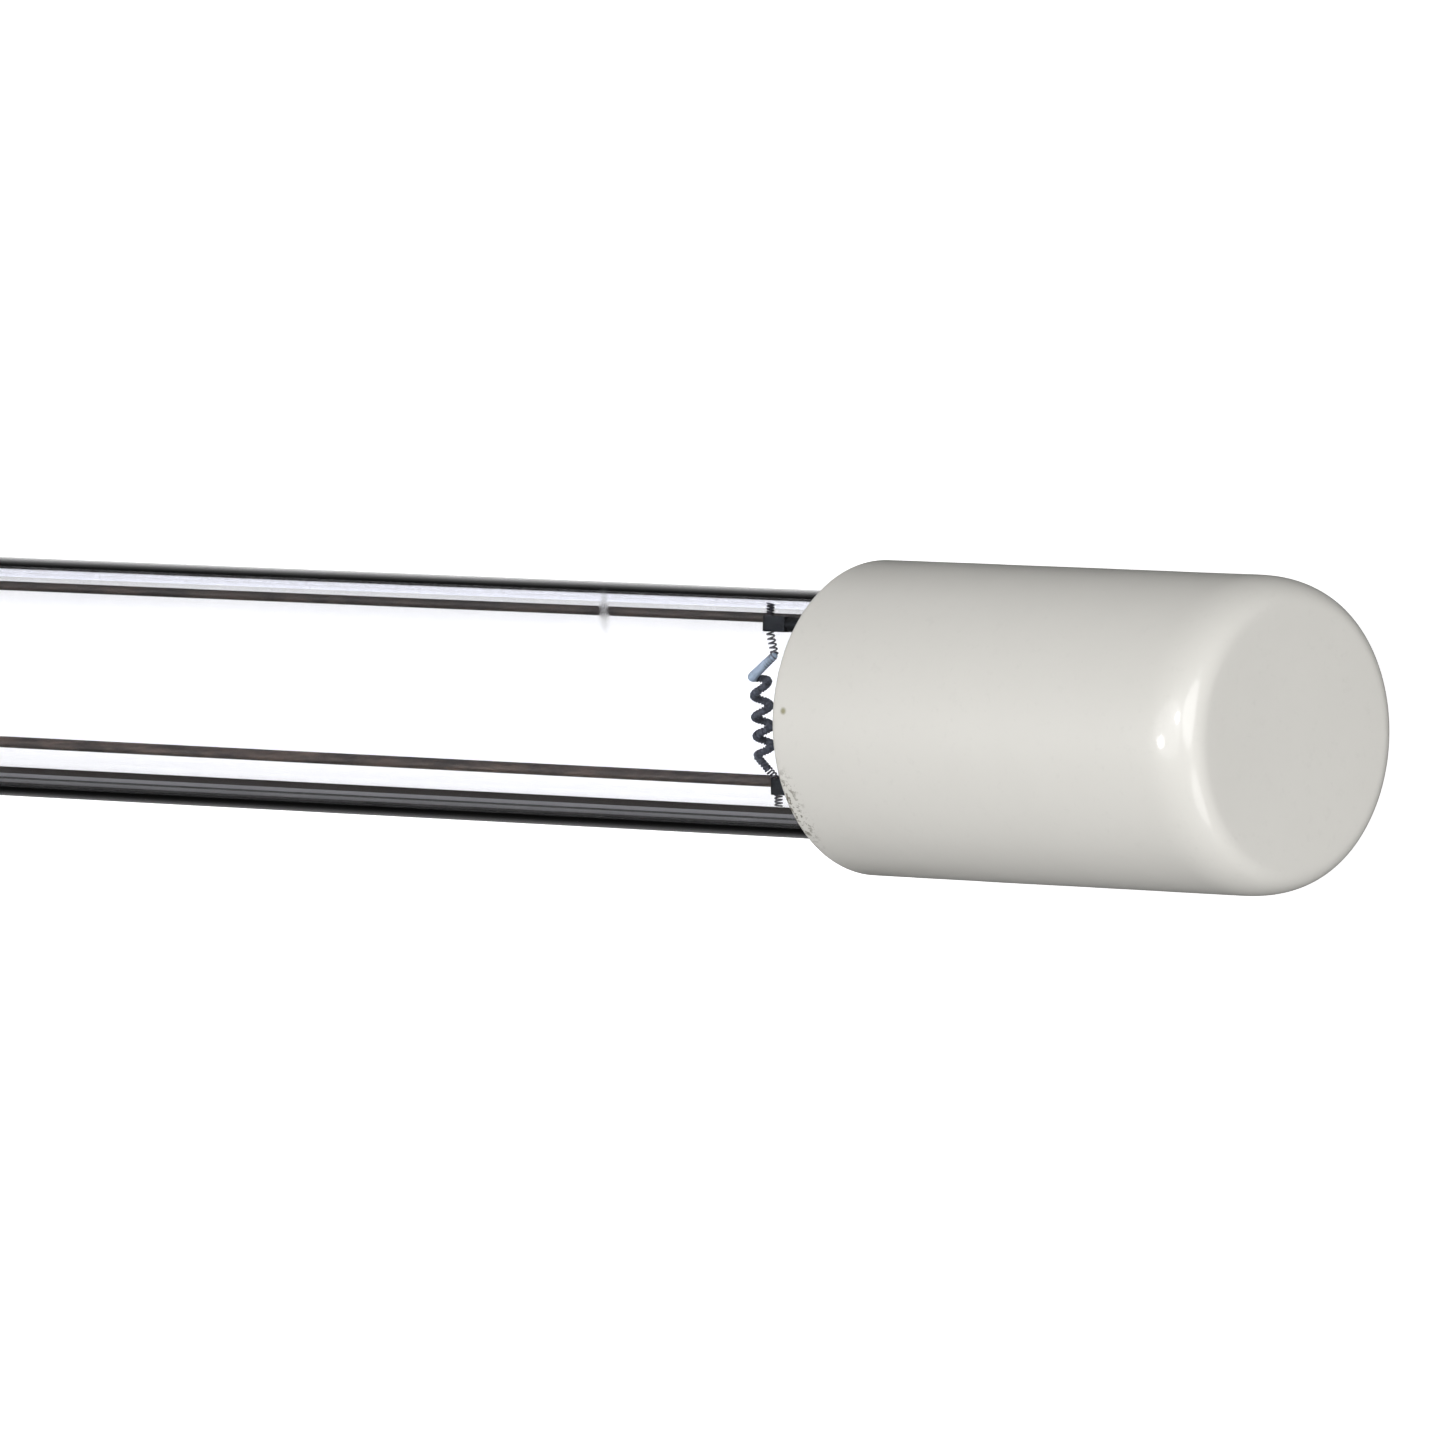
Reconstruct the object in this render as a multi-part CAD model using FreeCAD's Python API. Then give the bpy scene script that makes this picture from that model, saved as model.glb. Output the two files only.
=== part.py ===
import FreeCAD, Part
import math
import os

# Single-ended germicidal lamp. The lamp's axis is X: the pins point to -X and the plain
# cap to +X. The origin is the centre of the base's flat face. The two return wires lie
# under the tube, so the lamp rests on its two ceramic ends with the wires below.

# Overall length
BASE_FACE_TO_CAP_FACE = 287.0

# Quartz tube and its two press seals
TUBE_R = 7.5
TUBE_WALL = 0.55
SHOULDER_R = 5.2
SHOULDER_FILLET_R = 0.8
SEAL_HALF_THICKNESS = 1.8
SEAL_LENGTH = 10.0
BORE_DOME_LENGTH = 4.2
EXHAUST_TIP_R = 1.4
EXHAUST_TIP_LENGTH = 3.4

# Return wires outside the tube
RETURN_WIRE_R = 0.42
RETURN_WIRE_SPREAD_DEG = 44.1
RETURN_WIRE_GAP = 0.05
RETURN_WIRE_BEND_R = 0.9

# Plain ceramic cap
CAP_LENGTH = 33.6
CAP_WALL = 1.65
CAP_END_WALL = 2.5
LEAD_ROOM_IN_CAP = 1.0
CAP_EDGE_RADIAL = 1.3
CAP_EDGE_AXIAL = 3.7
MOUTH_EDGE_R = 0.3
CAVITY_CORNER_R = 1.0

# Ceramic base with four pins
BASE_LENGTH = 33.0
BASE_WALL = 1.65
BASE_END_WALL = 4.5
TIP_ROOM_IN_BASE = 5.1
BASE_EDGE_R = 0.8

# Bore of both ceramic pieces, with a groove for each return wire
CEMENT_GAP = 0.35
GROOVE_ROOM = 0.25

# Capping cement
CEMENT_LENGTH = 7.0
CEMENT_SETBACK = 0.8
CEMENT_SKIN = 0.02

# Contact pins, on a rectangle
PIN_R = 1.175
PIN_LENGTH = 6.6
PIN_TIP_R = 0.7
PIN_SHANK_R = 1.1
PIN_BORE_R = 0.6
PIN_BORE_DEPTH = 5.0
PIN_FLANGE_R = 1.7
PIN_FLANGE_THICKNESS = 0.6
PIN_TAIL = 1.5
PIN_SPACING_Y = 7.92
PIN_SPACING_Z = 6.35
PIN_HOLE_CLEARANCE = 0.03

# Plane of the filaments and seals, turned about the lamp's axis
SEAL_TURN_DEG = 4.9
LEAD_OFFSET_IN_SEAL = 4.0

# Sealing foils
FOIL_WIDTH = 2.4
FOIL_LENGTH = 7.0
FOIL_THICKNESS = 0.05
FOIL_OVERLAP = 1.6
LEAD_FLAT_DEPTH = 0.15

# Inner and outer leads
INNER_LEAD_R = 0.42
OUTER_LEAD_R = 0.4
LEAD_BEND_R = 1.5
LEAD_STRAIGHT_INTO_BORE = 2.0
OUTER_LEAD_LENGTH = 5.5
LEAD_IN_PIN_DEPTH = 4.5
LEAD_STRAIGHT_AT_PIN = 0.8
LEAD_STRAIGHT_AT_SEAL = 1.0

# Splice sleeves under the cap
SLEEVE_LENGTH = 2.4
SLEEVE_WALL = 0.25
SPLICE_CLEARANCE = 0.02
SPLICE_SETBACK = 2.4
SPLICE_SLOPE_LENGTH = 4.0

# Filaments
FILAMENT_BEFORE_MOUTH = 8.75
FILAMENT_OFFSET = 0.45
STRAND_R = 0.25
TURN_R = 0.34
TURNS_ASIDE = 0.55
TURN_COUNT = 4
TURN_START_DEG = -44.0
UPPER_LEG_SHARE = 0.3
LOWER_LEG_SHARE = 0.16
LEG_WRAP_DEG = 180.0
KNEE_OUT = 0.5
TAIL_LENGTH = 0.75
TAIL_CLEARANCE = 0.35
SECTIONS_PER_TURN = 12
SECTIONS_PER_LEG = 6

# Hooks folded over the filament's legs
HOOK_THICKNESS = 0.2
HOOK_HEIGHT = 0.95
HOOK_LENGTH = 1.6
HOOK_STAGGER = 0.6
HOOK_SEAM = 0.08
HOOK_CLEARANCE = 0.01

# Mercury
BEAD_R = 0.55
BEAD_X = 62.0
BEAD_GAP = 0.02

# Sizes that follow from those above
BORE_R = TUBE_R - TUBE_WALL
CERAMIC_BORE_R = TUBE_R + CEMENT_GAP
CAP_R = CERAMIC_BORE_R + CAP_WALL
BASE_R = CERAMIC_BORE_R + BASE_WALL
WIRE_RING_R = TUBE_R + RETURN_WIRE_GAP + RETURN_WIRE_R
GROOVE_R = RETURN_WIRE_R + GROOVE_ROOM
SHOULDER_RISE = TUBE_R - SHOULDER_R - SEAL_HALF_THICKNESS - SHOULDER_FILLET_R
SHOULDER_LENGTH = math.sqrt((SHOULDER_R + SHOULDER_FILLET_R) ** 2 - SHOULDER_RISE ** 2)
PRESSED_LENGTH = SHOULDER_LENGTH + SEAL_LENGTH
TUBE_INTO_CAP = CAP_LENGTH - CAP_END_WALL - LEAD_ROOM_IN_CAP - OUTER_LEAD_LENGTH - PRESSED_LENGTH
TUBE_INTO_BASE = BASE_LENGTH - BASE_END_WALL - TIP_ROOM_IN_BASE - EXHAUST_TIP_LENGTH - PRESSED_LENGTH
CAP_MOUTH_X = BASE_FACE_TO_CAP_FACE - CAP_LENGTH
CAP_SHOULDER_X = CAP_MOUTH_X + TUBE_INTO_CAP
BASE_SHOULDER_X = BASE_LENGTH - TUBE_INTO_BASE
FOIL_TOP = LEAD_FLAT_DEPTH - min(INNER_LEAD_R, OUTER_LEAD_R)

X_AXIS = FreeCAD.Vector(1, 0, 0)
ORIGIN = FreeCAD.Vector(0, 0, 0)
MORE_THAN_TUBE = 2 * (TUBE_R + CAP_R)


def point(x, y=0.0, z=0.0):
    return FreeCAD.Vector(x, y, z)


def seal_point(x, across, above=0.0):
    """A point given across and above the turned plane of the filaments and seals."""
    turn = math.radians(SEAL_TURN_DEG)
    y = across * math.cos(turn) + above * math.sin(turn)
    z = above * math.cos(turn) - across * math.sin(turn)
    return point(x, y, z)


def turned(shape):
    """A shape drawn with the seal's plane level, turned to where that plane lies."""
    placed = shape.copy()
    placed.rotate(ORIGIN, X_AXIS, -SEAL_TURN_DEG)
    return placed


def rod(start_x, end_x, radius, y=0.0, z=0.0):
    return Part.makeCylinder(radius, end_x - start_x, point(start_x, y, z), X_AXIS)


def revolved(edges):
    """A solid of revolution about the lamp's axis, from a closed outline in the XY plane."""
    face = Part.Face(Part.Wire(edges))
    return face.revolve(ORIGIN, X_AXIS, 360)


def line(start, end):
    return Part.LineSegment(start, end).toShape()


def arc(start, middle, end):
    return Part.Arc(start, middle, end).toShape()


def corner_arc(centre, radius, start_deg, end_deg):
    """An arc in the XY plane about a centre, between two angles."""
    ends = []
    for angle in (start_deg, (start_deg + end_deg) / 2, end_deg):
        turn = math.radians(angle)
        ends.append(centre + point(radius * math.cos(turn), radius * math.sin(turn)))
    return arc(*ends)


def bent_path(corners, bend_radius):
    """Straight runs through the corners, joined by tangent arcs."""
    edges = []
    start = corners[0]
    for before, corner, after in zip(corners, corners[1:], corners[2:]):
        arriving = (corner - before).normalize()
        leaving = (after - corner).normalize()
        turn = arriving.getAngle(leaving)
        reach = bend_radius * math.tan(turn / 2)
        bend_start = corner - arriving * reach
        bend_end = corner + leaving * reach
        inward = (leaving - arriving).normalize()
        bend_middle = corner + inward * (bend_radius / math.cos(turn / 2) - bend_radius)
        edges.append(line(start, bend_start))
        edges.append(arc(bend_start, bend_middle, bend_end))
        start = bend_end
    edges.append(line(start, corners[-1]))
    return Part.Wire(edges)


def bent_wire(corners, radius, bend_radius):
    """A round wire along straight runs and tangent bends."""
    path = bent_path(corners, bend_radius)
    direction = (corners[1] - corners[0]).normalize()
    section = Part.Wire(Part.makeCircle(radius, corners[0], direction))
    return path.makePipeShell([section], True, False)


def mirrored_in_x(shape, plane_x):
    return shape.mirror(point(plane_x), X_AXIS)


def quarter_ellipse(centre, reach_x, reach_y):
    """A quarter of an ellipse in the XY plane, between its ends along X and along Y."""
    end_x = centre + point(reach_x)
    end_y = centre + point(0, reach_y)
    if reach_x >= abs(reach_y):
        ellipse = Part.Ellipse(end_x, end_y, centre)
    else:
        ellipse = Part.Ellipse(end_y, end_x, centre)
    return Part.ArcOfEllipse(ellipse, 0, math.pi / 2).toShape()


def pressed_outline(shoulder_x):
    """Side view of the pressed end: a round shoulder, a fillet and the flat of the seal."""
    flat_x = shoulder_x + SHOULDER_LENGTH
    end_x = flat_x + SEAL_LENGTH
    edges = []
    for side in (1, -1):
        shoulder_centre = point(shoulder_x, side * (TUBE_R - SHOULDER_R))
        fillet_centre = point(flat_x, side * (SEAL_HALF_THICKNESS + SHOULDER_FILLET_R))
        slope = (fillet_centre - shoulder_centre).normalize()
        slope_deg = math.degrees(math.atan2(slope.y, slope.x))
        edges.append(corner_arc(shoulder_centre, SHOULDER_R, side * 90.0, slope_deg))
        fillet_start_deg = side * 180.0 + slope_deg
        edges.append(corner_arc(fillet_centre, SHOULDER_FILLET_R, fillet_start_deg, side * 270.0))
        flat_y = side * SEAL_HALF_THICKNESS
        edges.append(line(point(flat_x, flat_y), point(end_x, flat_y)))
    edges.append(line(point(end_x, SEAL_HALF_THICKNESS), point(end_x, -SEAL_HALF_THICKNESS)))
    edges.append(line(point(shoulder_x, TUBE_R), point(shoulder_x, -TUBE_R)))
    return Part.Wire(Part.__sortEdges__(edges))


def bore_outline(shoulder_x):
    """Side view of the bore's end, which closes like a wedge between the pressed walls."""
    centre = point(shoulder_x)
    return Part.Wire(Part.__sortEdges__([
        quarter_ellipse(centre, BORE_DOME_LENGTH, BORE_R),
        quarter_ellipse(centre, BORE_DOME_LENGTH, -BORE_R),
        line(point(shoulder_x, -BORE_R), point(shoulder_x, BORE_R)),
    ]))


def pressed_solid(outline, radius, start_x, length):
    """A round rod pressed to an outline that is seen from the side."""
    plate = Part.Face(outline)
    plate.rotate(ORIGIN, X_AXIS, 90)
    plate.translate(point(0, MORE_THAN_TUBE / 2, 0))
    slab = plate.extrude(point(0, -MORE_THAN_TUBE, 0))
    return rod(start_x, start_x + length, radius).common(slab)


def pressed_end(shoulder_x):
    """Outer form and bore of one pressed end, drawn towards +X."""
    outer = pressed_solid(pressed_outline(shoulder_x), TUBE_R, shoulder_x, PRESSED_LENGTH)
    bore = pressed_solid(bore_outline(shoulder_x), BORE_R, shoulder_x, BORE_DOME_LENGTH)
    return turned(outer), turned(bore)


def at_cap(shape):
    """A piece drawn from the cap's mouth at X = 0, placed at the cap."""
    placed = shape.copy()
    placed.translate(point(CAP_MOUTH_X))
    return placed


def at_base(shape):
    """A piece drawn from the mouth at X = 0, turned round to the base."""
    placed = mirrored_in_x(shape, 0.0)
    placed.translate(point(BASE_LENGTH))
    return placed


def seal_end_from_mouth(tube_into):
    return tube_into + PRESSED_LENGTH


def foil_start_from_mouth(tube_into):
    return tube_into + SHOULDER_LENGTH + (SEAL_LENGTH - FOIL_LENGTH) / 2


def make_foil(tube_into, side):
    start = foil_start_from_mouth(tube_into)
    low = point(start, side * LEAD_OFFSET_IN_SEAL - FOIL_WIDTH / 2, FOIL_TOP - FOIL_THICKNESS)
    return turned(Part.makeBox(FOIL_LENGTH, FOIL_WIDTH, FOIL_THICKNESS, low))


def below_foil_top(tube_into, side):
    """The space under a foil's upper face, which leaves the flats on the welded leads."""
    start = foil_start_from_mouth(tube_into)
    low = point(start, side * LEAD_OFFSET_IN_SEAL - FOIL_WIDTH / 2, FOIL_TOP - FOIL_WIDTH)
    return turned(Part.makeBox(FOIL_LENGTH, FOIL_WIDTH, FOIL_WIDTH, low))


def filament_across(side):
    """Where a filament's leg crosses its lead, across the plane of the filament."""
    upper = BORE_R - TAIL_CLEARANCE - TAIL_LENGTH - HOOK_HEIGHT / 2
    return side * (upper - FILAMENT_OFFSET) + FILAMENT_OFFSET


def hook_stagger(side):
    """How far a hook stands beside the filament's axis, towards the mouth."""
    return HOOK_STAGGER * (1 - side) / 2


def make_hook(side):
    """The lead's flattened end, folded round the filament's leg, drawn along Y."""
    inner_r = STRAND_R + HOOK_CLEARANCE
    outer_r = inner_r + HOOK_THICKNESS
    centre_x = hook_stagger(side) - FILAMENT_BEFORE_MOUTH
    low_y = filament_across(side) - HOOK_HEIGHT / 2
    fold = Part.makeCylinder(outer_r, HOOK_HEIGHT, point(centre_x, low_y, 0), point(0, 1, 0))
    cheeks = Part.makeBox(HOOK_LENGTH, HOOK_HEIGHT, 2 * outer_r, point(centre_x, low_y, -outer_r))
    eye = Part.makeCylinder(inner_r, HOOK_HEIGHT, point(centre_x, low_y, 0), point(0, 1, 0))
    seam_low = point(centre_x, low_y, -HOOK_SEAM / 2)
    seam = Part.makeBox(HOOK_LENGTH - outer_r, HOOK_HEIGHT, HOOK_SEAM, seam_low)
    return fold.fuse(cheeks).cut(eye).cut(seam).removeSplitter()


def make_inner_lead(tube_into, side):
    """An inner lead from its foil to the hook that holds the filament."""
    foil_x = foil_start_from_mouth(tube_into) + FOIL_OVERLAP
    seal_x = tube_into + SHOULDER_LENGTH
    hook_x = hook_stagger(side) - FILAMENT_BEFORE_MOUTH + HOOK_LENGTH
    straight_x = seal_x - LEAD_STRAIGHT_INTO_BORE - BORE_DOME_LENGTH
    near = side * LEAD_OFFSET_IN_SEAL
    far = filament_across(side)
    corners = [
        point(foil_x, near),
        point(straight_x, near),
        point((hook_x + straight_x) / 2, far),
        point(hook_x - HOOK_THICKNESS, far),
    ]
    wire = bent_wire(corners, INNER_LEAD_R, LEAD_BEND_R)
    lead = turned(wire.fuse(make_hook(side)).removeSplitter())
    return lead.cut(below_foil_top(tube_into, side))


def turn_point(radius, phase, level):
    """A point of the large turns, at an angle round their own axis and a level along it."""
    return point(-radius * math.cos(phase), level, -radius * math.sin(phase))


def leg_stations(side, edge, coil_end, end_phase, wrap):
    """Points from a hook out to the leg's knee, and on round into the first turn."""
    knee = (edge + coil_end) / 2
    hook = hook_stagger(side)
    stations = []
    for step in range(SECTIONS_PER_LEG):
        share = step / SECTIONS_PER_LEG
        swing = (1 - math.cos(math.pi * share)) / 2
        stations.append(point(hook + (KNEE_OUT - hook) * swing, edge + (knee - edge) * share))
    for step in range(SECTIONS_PER_LEG):
        share = step / SECTIONS_PER_LEG
        swing = (1 - math.cos(math.pi * share)) / 2
        level = knee + (coil_end - knee) * share * (2 - share)
        round_turn = turn_point(TURN_R * swing, end_phase + wrap * (1 - share), level)
        stations.append(round_turn + point(KNEE_OUT * (1 - swing) - TURNS_ASIDE * swing))
    return stations


def filament_stations():
    """Centre line of a filament: tail, leg, large turns, leg and tail."""
    upper_edge = filament_across(1) - HOOK_HEIGHT / 2
    lower_edge = filament_across(-1) + HOOK_HEIGHT / 2
    span = upper_edge - lower_edge
    coil_top = upper_edge - UPPER_LEG_SHARE * span
    coil_bottom = lower_edge + LOWER_LEG_SHARE * span
    wrap = math.radians(LEG_WRAP_DEG)
    start = math.radians(TURN_START_DEG)
    end = start + 2 * math.pi * TURN_COUNT
    section_total = TURN_COUNT * SECTIONS_PER_TURN
    turns = []
    for step in range(section_total + 1):
        share = step / section_total
        level = coil_top + (coil_bottom - coil_top) * share
        round_turn = turn_point(TURN_R, start + (end - start) * share, level)
        turns.append(round_turn - point(TURNS_ASIDE))
    top = point(hook_stagger(1), upper_edge + HOOK_HEIGHT + TAIL_LENGTH)
    bottom = point(hook_stagger(-1), lower_edge - HOOK_HEIGHT - TAIL_LENGTH)
    upper_leg = leg_stations(1, upper_edge, coil_top, start, -wrap)
    lower_leg = leg_stations(-1, lower_edge, coil_bottom, end, wrap)
    stations = [top, *upper_leg, *turns, *reversed(lower_leg), bottom]
    return [station - point(FILAMENT_BEFORE_MOUTH) for station in stations]


def make_filament():
    """The filament's coiled strand, lofted along its centre line without any twist."""
    centres = filament_stations()
    seam = X_AXIS
    sections = []
    for index, centre in enumerate(centres):
        before = centres[max(index - 1, 0)]
        after = centres[min(index + 1, len(centres) - 1)]
        direction = (after - before).normalize()
        seam = (seam - direction * seam.dot(direction)).normalize()
        circle = Part.Circle(centre, direction, STRAND_R)
        circle.XAxis = seam
        sections.append(Part.Wire(circle.toShape()))
    return turned(Part.makeLoft(sections, True, True))


def wire_position(side):
    """Where a return wire runs, outside the tube and below it."""
    spread = math.radians(RETURN_WIRE_SPREAD_DEG)
    return side * WIRE_RING_R * math.sin(spread), -WIRE_RING_R * math.cos(spread)


def pin_position(side, level):
    return side * PIN_SPACING_Y / 2, level * PIN_SPACING_Z / 2


def lead_end_in_pin_x():
    return BASE_END_WALL + PIN_TAIL - LEAD_IN_PIN_DEPTH


def pin_bends():
    """Where the wires start and stop sloping between the base seal and the pins."""
    near_pin = BASE_END_WALL + PIN_TAIL + LEAD_STRAIGHT_AT_PIN
    near_seal = BASE_LENGTH - seal_end_from_mouth(TUBE_INTO_BASE) - LEAD_STRAIGHT_AT_SEAL
    return near_pin, near_seal


def splice_start_x():
    return CAP_MOUTH_X + seal_end_from_mouth(TUBE_INTO_CAP) + SPLICE_SETBACK


def splice_point(x, side):
    """A return wire's place beside the outer lead, just below it."""
    drop = OUTER_LEAD_R + RETURN_WIRE_R + 2 * SPLICE_CLEARANCE
    return seal_point(x, side * LEAD_OFFSET_IN_SEAL, -drop)


def outer_lead_end_x():
    return CAP_MOUTH_X + seal_end_from_mouth(TUBE_INTO_CAP) + OUTER_LEAD_LENGTH


def make_return_wire(side):
    """A return wire from its pin, along the tube, to its splice under the cap."""
    pin_y, pin_z = pin_position(side, -1)
    wire_y, wire_z = wire_position(side)
    near_pin, near_seal = pin_bends()
    corners = [
        point(lead_end_in_pin_x(), pin_y, pin_z),
        point(near_pin, pin_y, pin_z),
        point(near_seal, wire_y, wire_z),
        point(splice_start_x() - SPLICE_SLOPE_LENGTH, wire_y, wire_z),
        splice_point(splice_start_x(), side),
        splice_point(outer_lead_end_x(), side),
    ]
    return bent_wire(corners, RETURN_WIRE_R, RETURN_WIRE_BEND_R)


def make_outer_lead_cap(side):
    """An outer lead at the cap end, straight from its foil to its splice."""
    foil_end = CAP_MOUTH_X + foil_start_from_mouth(TUBE_INTO_CAP) + FOIL_LENGTH
    start = seal_point(foil_end - FOIL_OVERLAP, side * LEAD_OFFSET_IN_SEAL)
    lead = rod(start.x, outer_lead_end_x(), OUTER_LEAD_R, start.y, start.z)
    return lead.cut(at_cap(below_foil_top(TUBE_INTO_CAP, side)))


def make_outer_lead_base(side):
    """An outer lead at the base end, from its foil into its pin."""
    foil_end = BASE_LENGTH - foil_start_from_mouth(TUBE_INTO_BASE) - FOIL_LENGTH
    near_pin, near_seal = pin_bends()
    pin_y, pin_z = pin_position(side, 1)
    corners = [
        seal_point(foil_end + FOIL_OVERLAP, side * LEAD_OFFSET_IN_SEAL),
        seal_point(near_seal, side * LEAD_OFFSET_IN_SEAL),
        point(near_pin, pin_y, pin_z),
        point(lead_end_in_pin_x(), pin_y, pin_z),
    ]
    lead = bent_wire(corners, OUTER_LEAD_R, RETURN_WIRE_BEND_R)
    return lead.cut(at_base(below_foil_top(TUBE_INTO_BASE, side)))


def oval_rod(first, second, radius, length):
    """A rod along X whose section is an oval round two centres."""
    across = (second - first).normalize()
    edge = across.cross(X_AXIS) * radius
    rim = [
        line(first + edge, second + edge),
        arc(second + edge, second + across * radius, second - edge),
        line(second - edge, first - edge),
        arc(first - edge, first - across * radius, first + edge),
    ]
    return Part.Face(Part.Wire(rim)).extrude(X_AXIS * length)


def make_splice_sleeve(side):
    """A flat sleeve round the end of a return wire and the end of an outer lead."""
    start_x = outer_lead_end_x() - SLEEVE_LENGTH
    lead = seal_point(start_x, side * LEAD_OFFSET_IN_SEAL)
    wire = splice_point(start_x, side)
    bore = max(OUTER_LEAD_R, RETURN_WIRE_R) + SPLICE_CLEARANCE
    body = oval_rod(lead, wire, bore + SLEEVE_WALL, SLEEVE_LENGTH)
    return body.cut(oval_rod(lead, wire, bore, SLEEVE_LENGTH))


def exhaust_tip():
    """The closed stub through which the tube was pumped out, on the base seal's end."""
    root_x = BASE_LENGTH - seal_end_from_mouth(TUBE_INTO_BASE)
    tip_x = root_x - EXHAUST_TIP_LENGTH
    neck_x = tip_x + EXHAUST_TIP_R
    buried_x = root_x + EXHAUST_TIP_R
    return revolved([
        line(point(tip_x), point(buried_x)),
        line(point(buried_x), point(buried_x, EXHAUST_TIP_R)),
        line(point(buried_x, EXHAUST_TIP_R), point(neck_x, EXHAUST_TIP_R)),
        corner_arc(point(neck_x), EXHAUST_TIP_R, 90, 180),
    ])


def make_envelope(sealed_in):
    """The quartz tube with both pressed ends, closed round the foils and leads."""
    tube = rod(BASE_SHOULDER_X, CAP_SHOULDER_X, TUBE_R)
    bore = rod(BASE_SHOULDER_X, CAP_SHOULDER_X, BORE_R)
    cap_outer, cap_bore = pressed_end(TUBE_INTO_CAP)
    base_outer, base_bore = pressed_end(TUBE_INTO_BASE)
    outer = tube.fuse([at_cap(cap_outer), at_base(base_outer), exhaust_tip()])
    inner = bore.fuse([at_cap(cap_bore), at_base(base_bore)])
    envelope = outer.cut(inner)
    for piece in sealed_in:
        envelope = envelope.cut(piece)
    return envelope


def grooves(start_x, end_x, radius):
    """Two round grooves along the bore, one over each return wire."""
    left_y, left_z = wire_position(1)
    right_y, right_z = wire_position(-1)
    left = rod(start_x, end_x, radius, left_y, left_z)
    right = rod(start_x, end_x, radius, right_y, right_z)
    return left, right


def ceramic_cavity(mouth_x, end_x):
    """Bore of a ceramic piece with its grooves, drawn towards +X."""
    corner_x = end_x - CAVITY_CORNER_R
    corner_r = CERAMIC_BORE_R - CAVITY_CORNER_R
    bore = revolved([
        line(point(mouth_x), point(mouth_x, CERAMIC_BORE_R)),
        line(point(mouth_x, CERAMIC_BORE_R), point(corner_x, CERAMIC_BORE_R)),
        corner_arc(point(corner_x, corner_r), CAVITY_CORNER_R, 90, 0),
        line(point(end_x, corner_r), point(end_x)),
        line(point(end_x), point(mouth_x)),
    ])
    return bore.fuse(grooves(mouth_x, corner_x, GROOVE_R))


def make_end_cap():
    """The plain ceramic cap: a deep cup, with a wide soft rounding up to its flat end."""
    face_x = CAP_LENGTH
    edge_x = face_x - CAP_EDGE_AXIAL
    face_r = CAP_R - CAP_EDGE_RADIAL
    outline = [
        line(point(0), point(0, CAP_R - MOUTH_EDGE_R)),
        corner_arc(point(MOUTH_EDGE_R, CAP_R - MOUTH_EDGE_R), MOUTH_EDGE_R, 180, 90),
        line(point(MOUTH_EDGE_R, CAP_R), point(edge_x, CAP_R)),
        quarter_ellipse(point(edge_x, face_r), CAP_EDGE_AXIAL, CAP_EDGE_RADIAL),
        line(point(face_x, face_r), point(face_x)),
        line(point(face_x), point(0)),
    ]
    body = revolved(Part.__sortEdges__(outline))
    return at_cap(body.cut(ceramic_cavity(0, face_x - CAP_END_WALL)))


def make_pin_base():
    """The ceramic base: a deep cup with four pin holes through its thick end."""
    face_x = BASE_LENGTH
    outline = [
        line(point(0), point(0, BASE_R - MOUTH_EDGE_R)),
        corner_arc(point(MOUTH_EDGE_R, BASE_R - MOUTH_EDGE_R), MOUTH_EDGE_R, 180, 90),
        line(point(MOUTH_EDGE_R, BASE_R), point(face_x - BASE_EDGE_R, BASE_R)),
        corner_arc(point(face_x - BASE_EDGE_R, BASE_R - BASE_EDGE_R), BASE_EDGE_R, 90, 0),
        line(point(face_x, BASE_R - BASE_EDGE_R), point(face_x)),
        line(point(face_x), point(0)),
    ]
    cup = revolved(outline).cut(ceramic_cavity(0, face_x - BASE_END_WALL))
    base = at_base(cup)
    for side in (1, -1):
        for level in (1, -1):
            y, z = pin_position(side, level)
            base = base.cut(rod(0, BASE_END_WALL, PIN_R + PIN_HOLE_CLEARANCE, y, z))
    return base


def make_pin(side, level):
    """A pin with a flange against the inside of the base's end wall, bored for its lead."""
    flange_x = BASE_END_WALL
    flange_end_x = flange_x + PIN_FLANGE_THICKNESS
    tail_x = BASE_END_WALL + PIN_TAIL
    tip_x = -PIN_LENGTH
    pin = revolved([
        line(point(tip_x), point(tip_x, PIN_R - PIN_TIP_R)),
        corner_arc(point(tip_x + PIN_TIP_R, PIN_R - PIN_TIP_R), PIN_TIP_R, 180, 90),
        line(point(tip_x + PIN_TIP_R, PIN_R), point(0, PIN_R)),
        line(point(0, PIN_R), point(0, PIN_SHANK_R)),
        line(point(0, PIN_SHANK_R), point(flange_x, PIN_SHANK_R)),
        line(point(flange_x, PIN_SHANK_R), point(flange_x, PIN_FLANGE_R)),
        line(point(flange_x, PIN_FLANGE_R), point(flange_end_x, PIN_FLANGE_R)),
        line(point(flange_end_x, PIN_FLANGE_R), point(flange_end_x, PIN_SHANK_R)),
        line(point(flange_end_x, PIN_SHANK_R), point(tail_x, PIN_SHANK_R)),
        line(point(tail_x, PIN_SHANK_R), point(tail_x)),
        line(point(tail_x), point(tip_x)),
    ])
    pin = pin.cut(rod(tail_x - PIN_BORE_DEPTH, tail_x, PIN_BORE_R))
    y, z = pin_position(side, level)
    pin.translate(point(0, y, z))
    return pin


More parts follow.
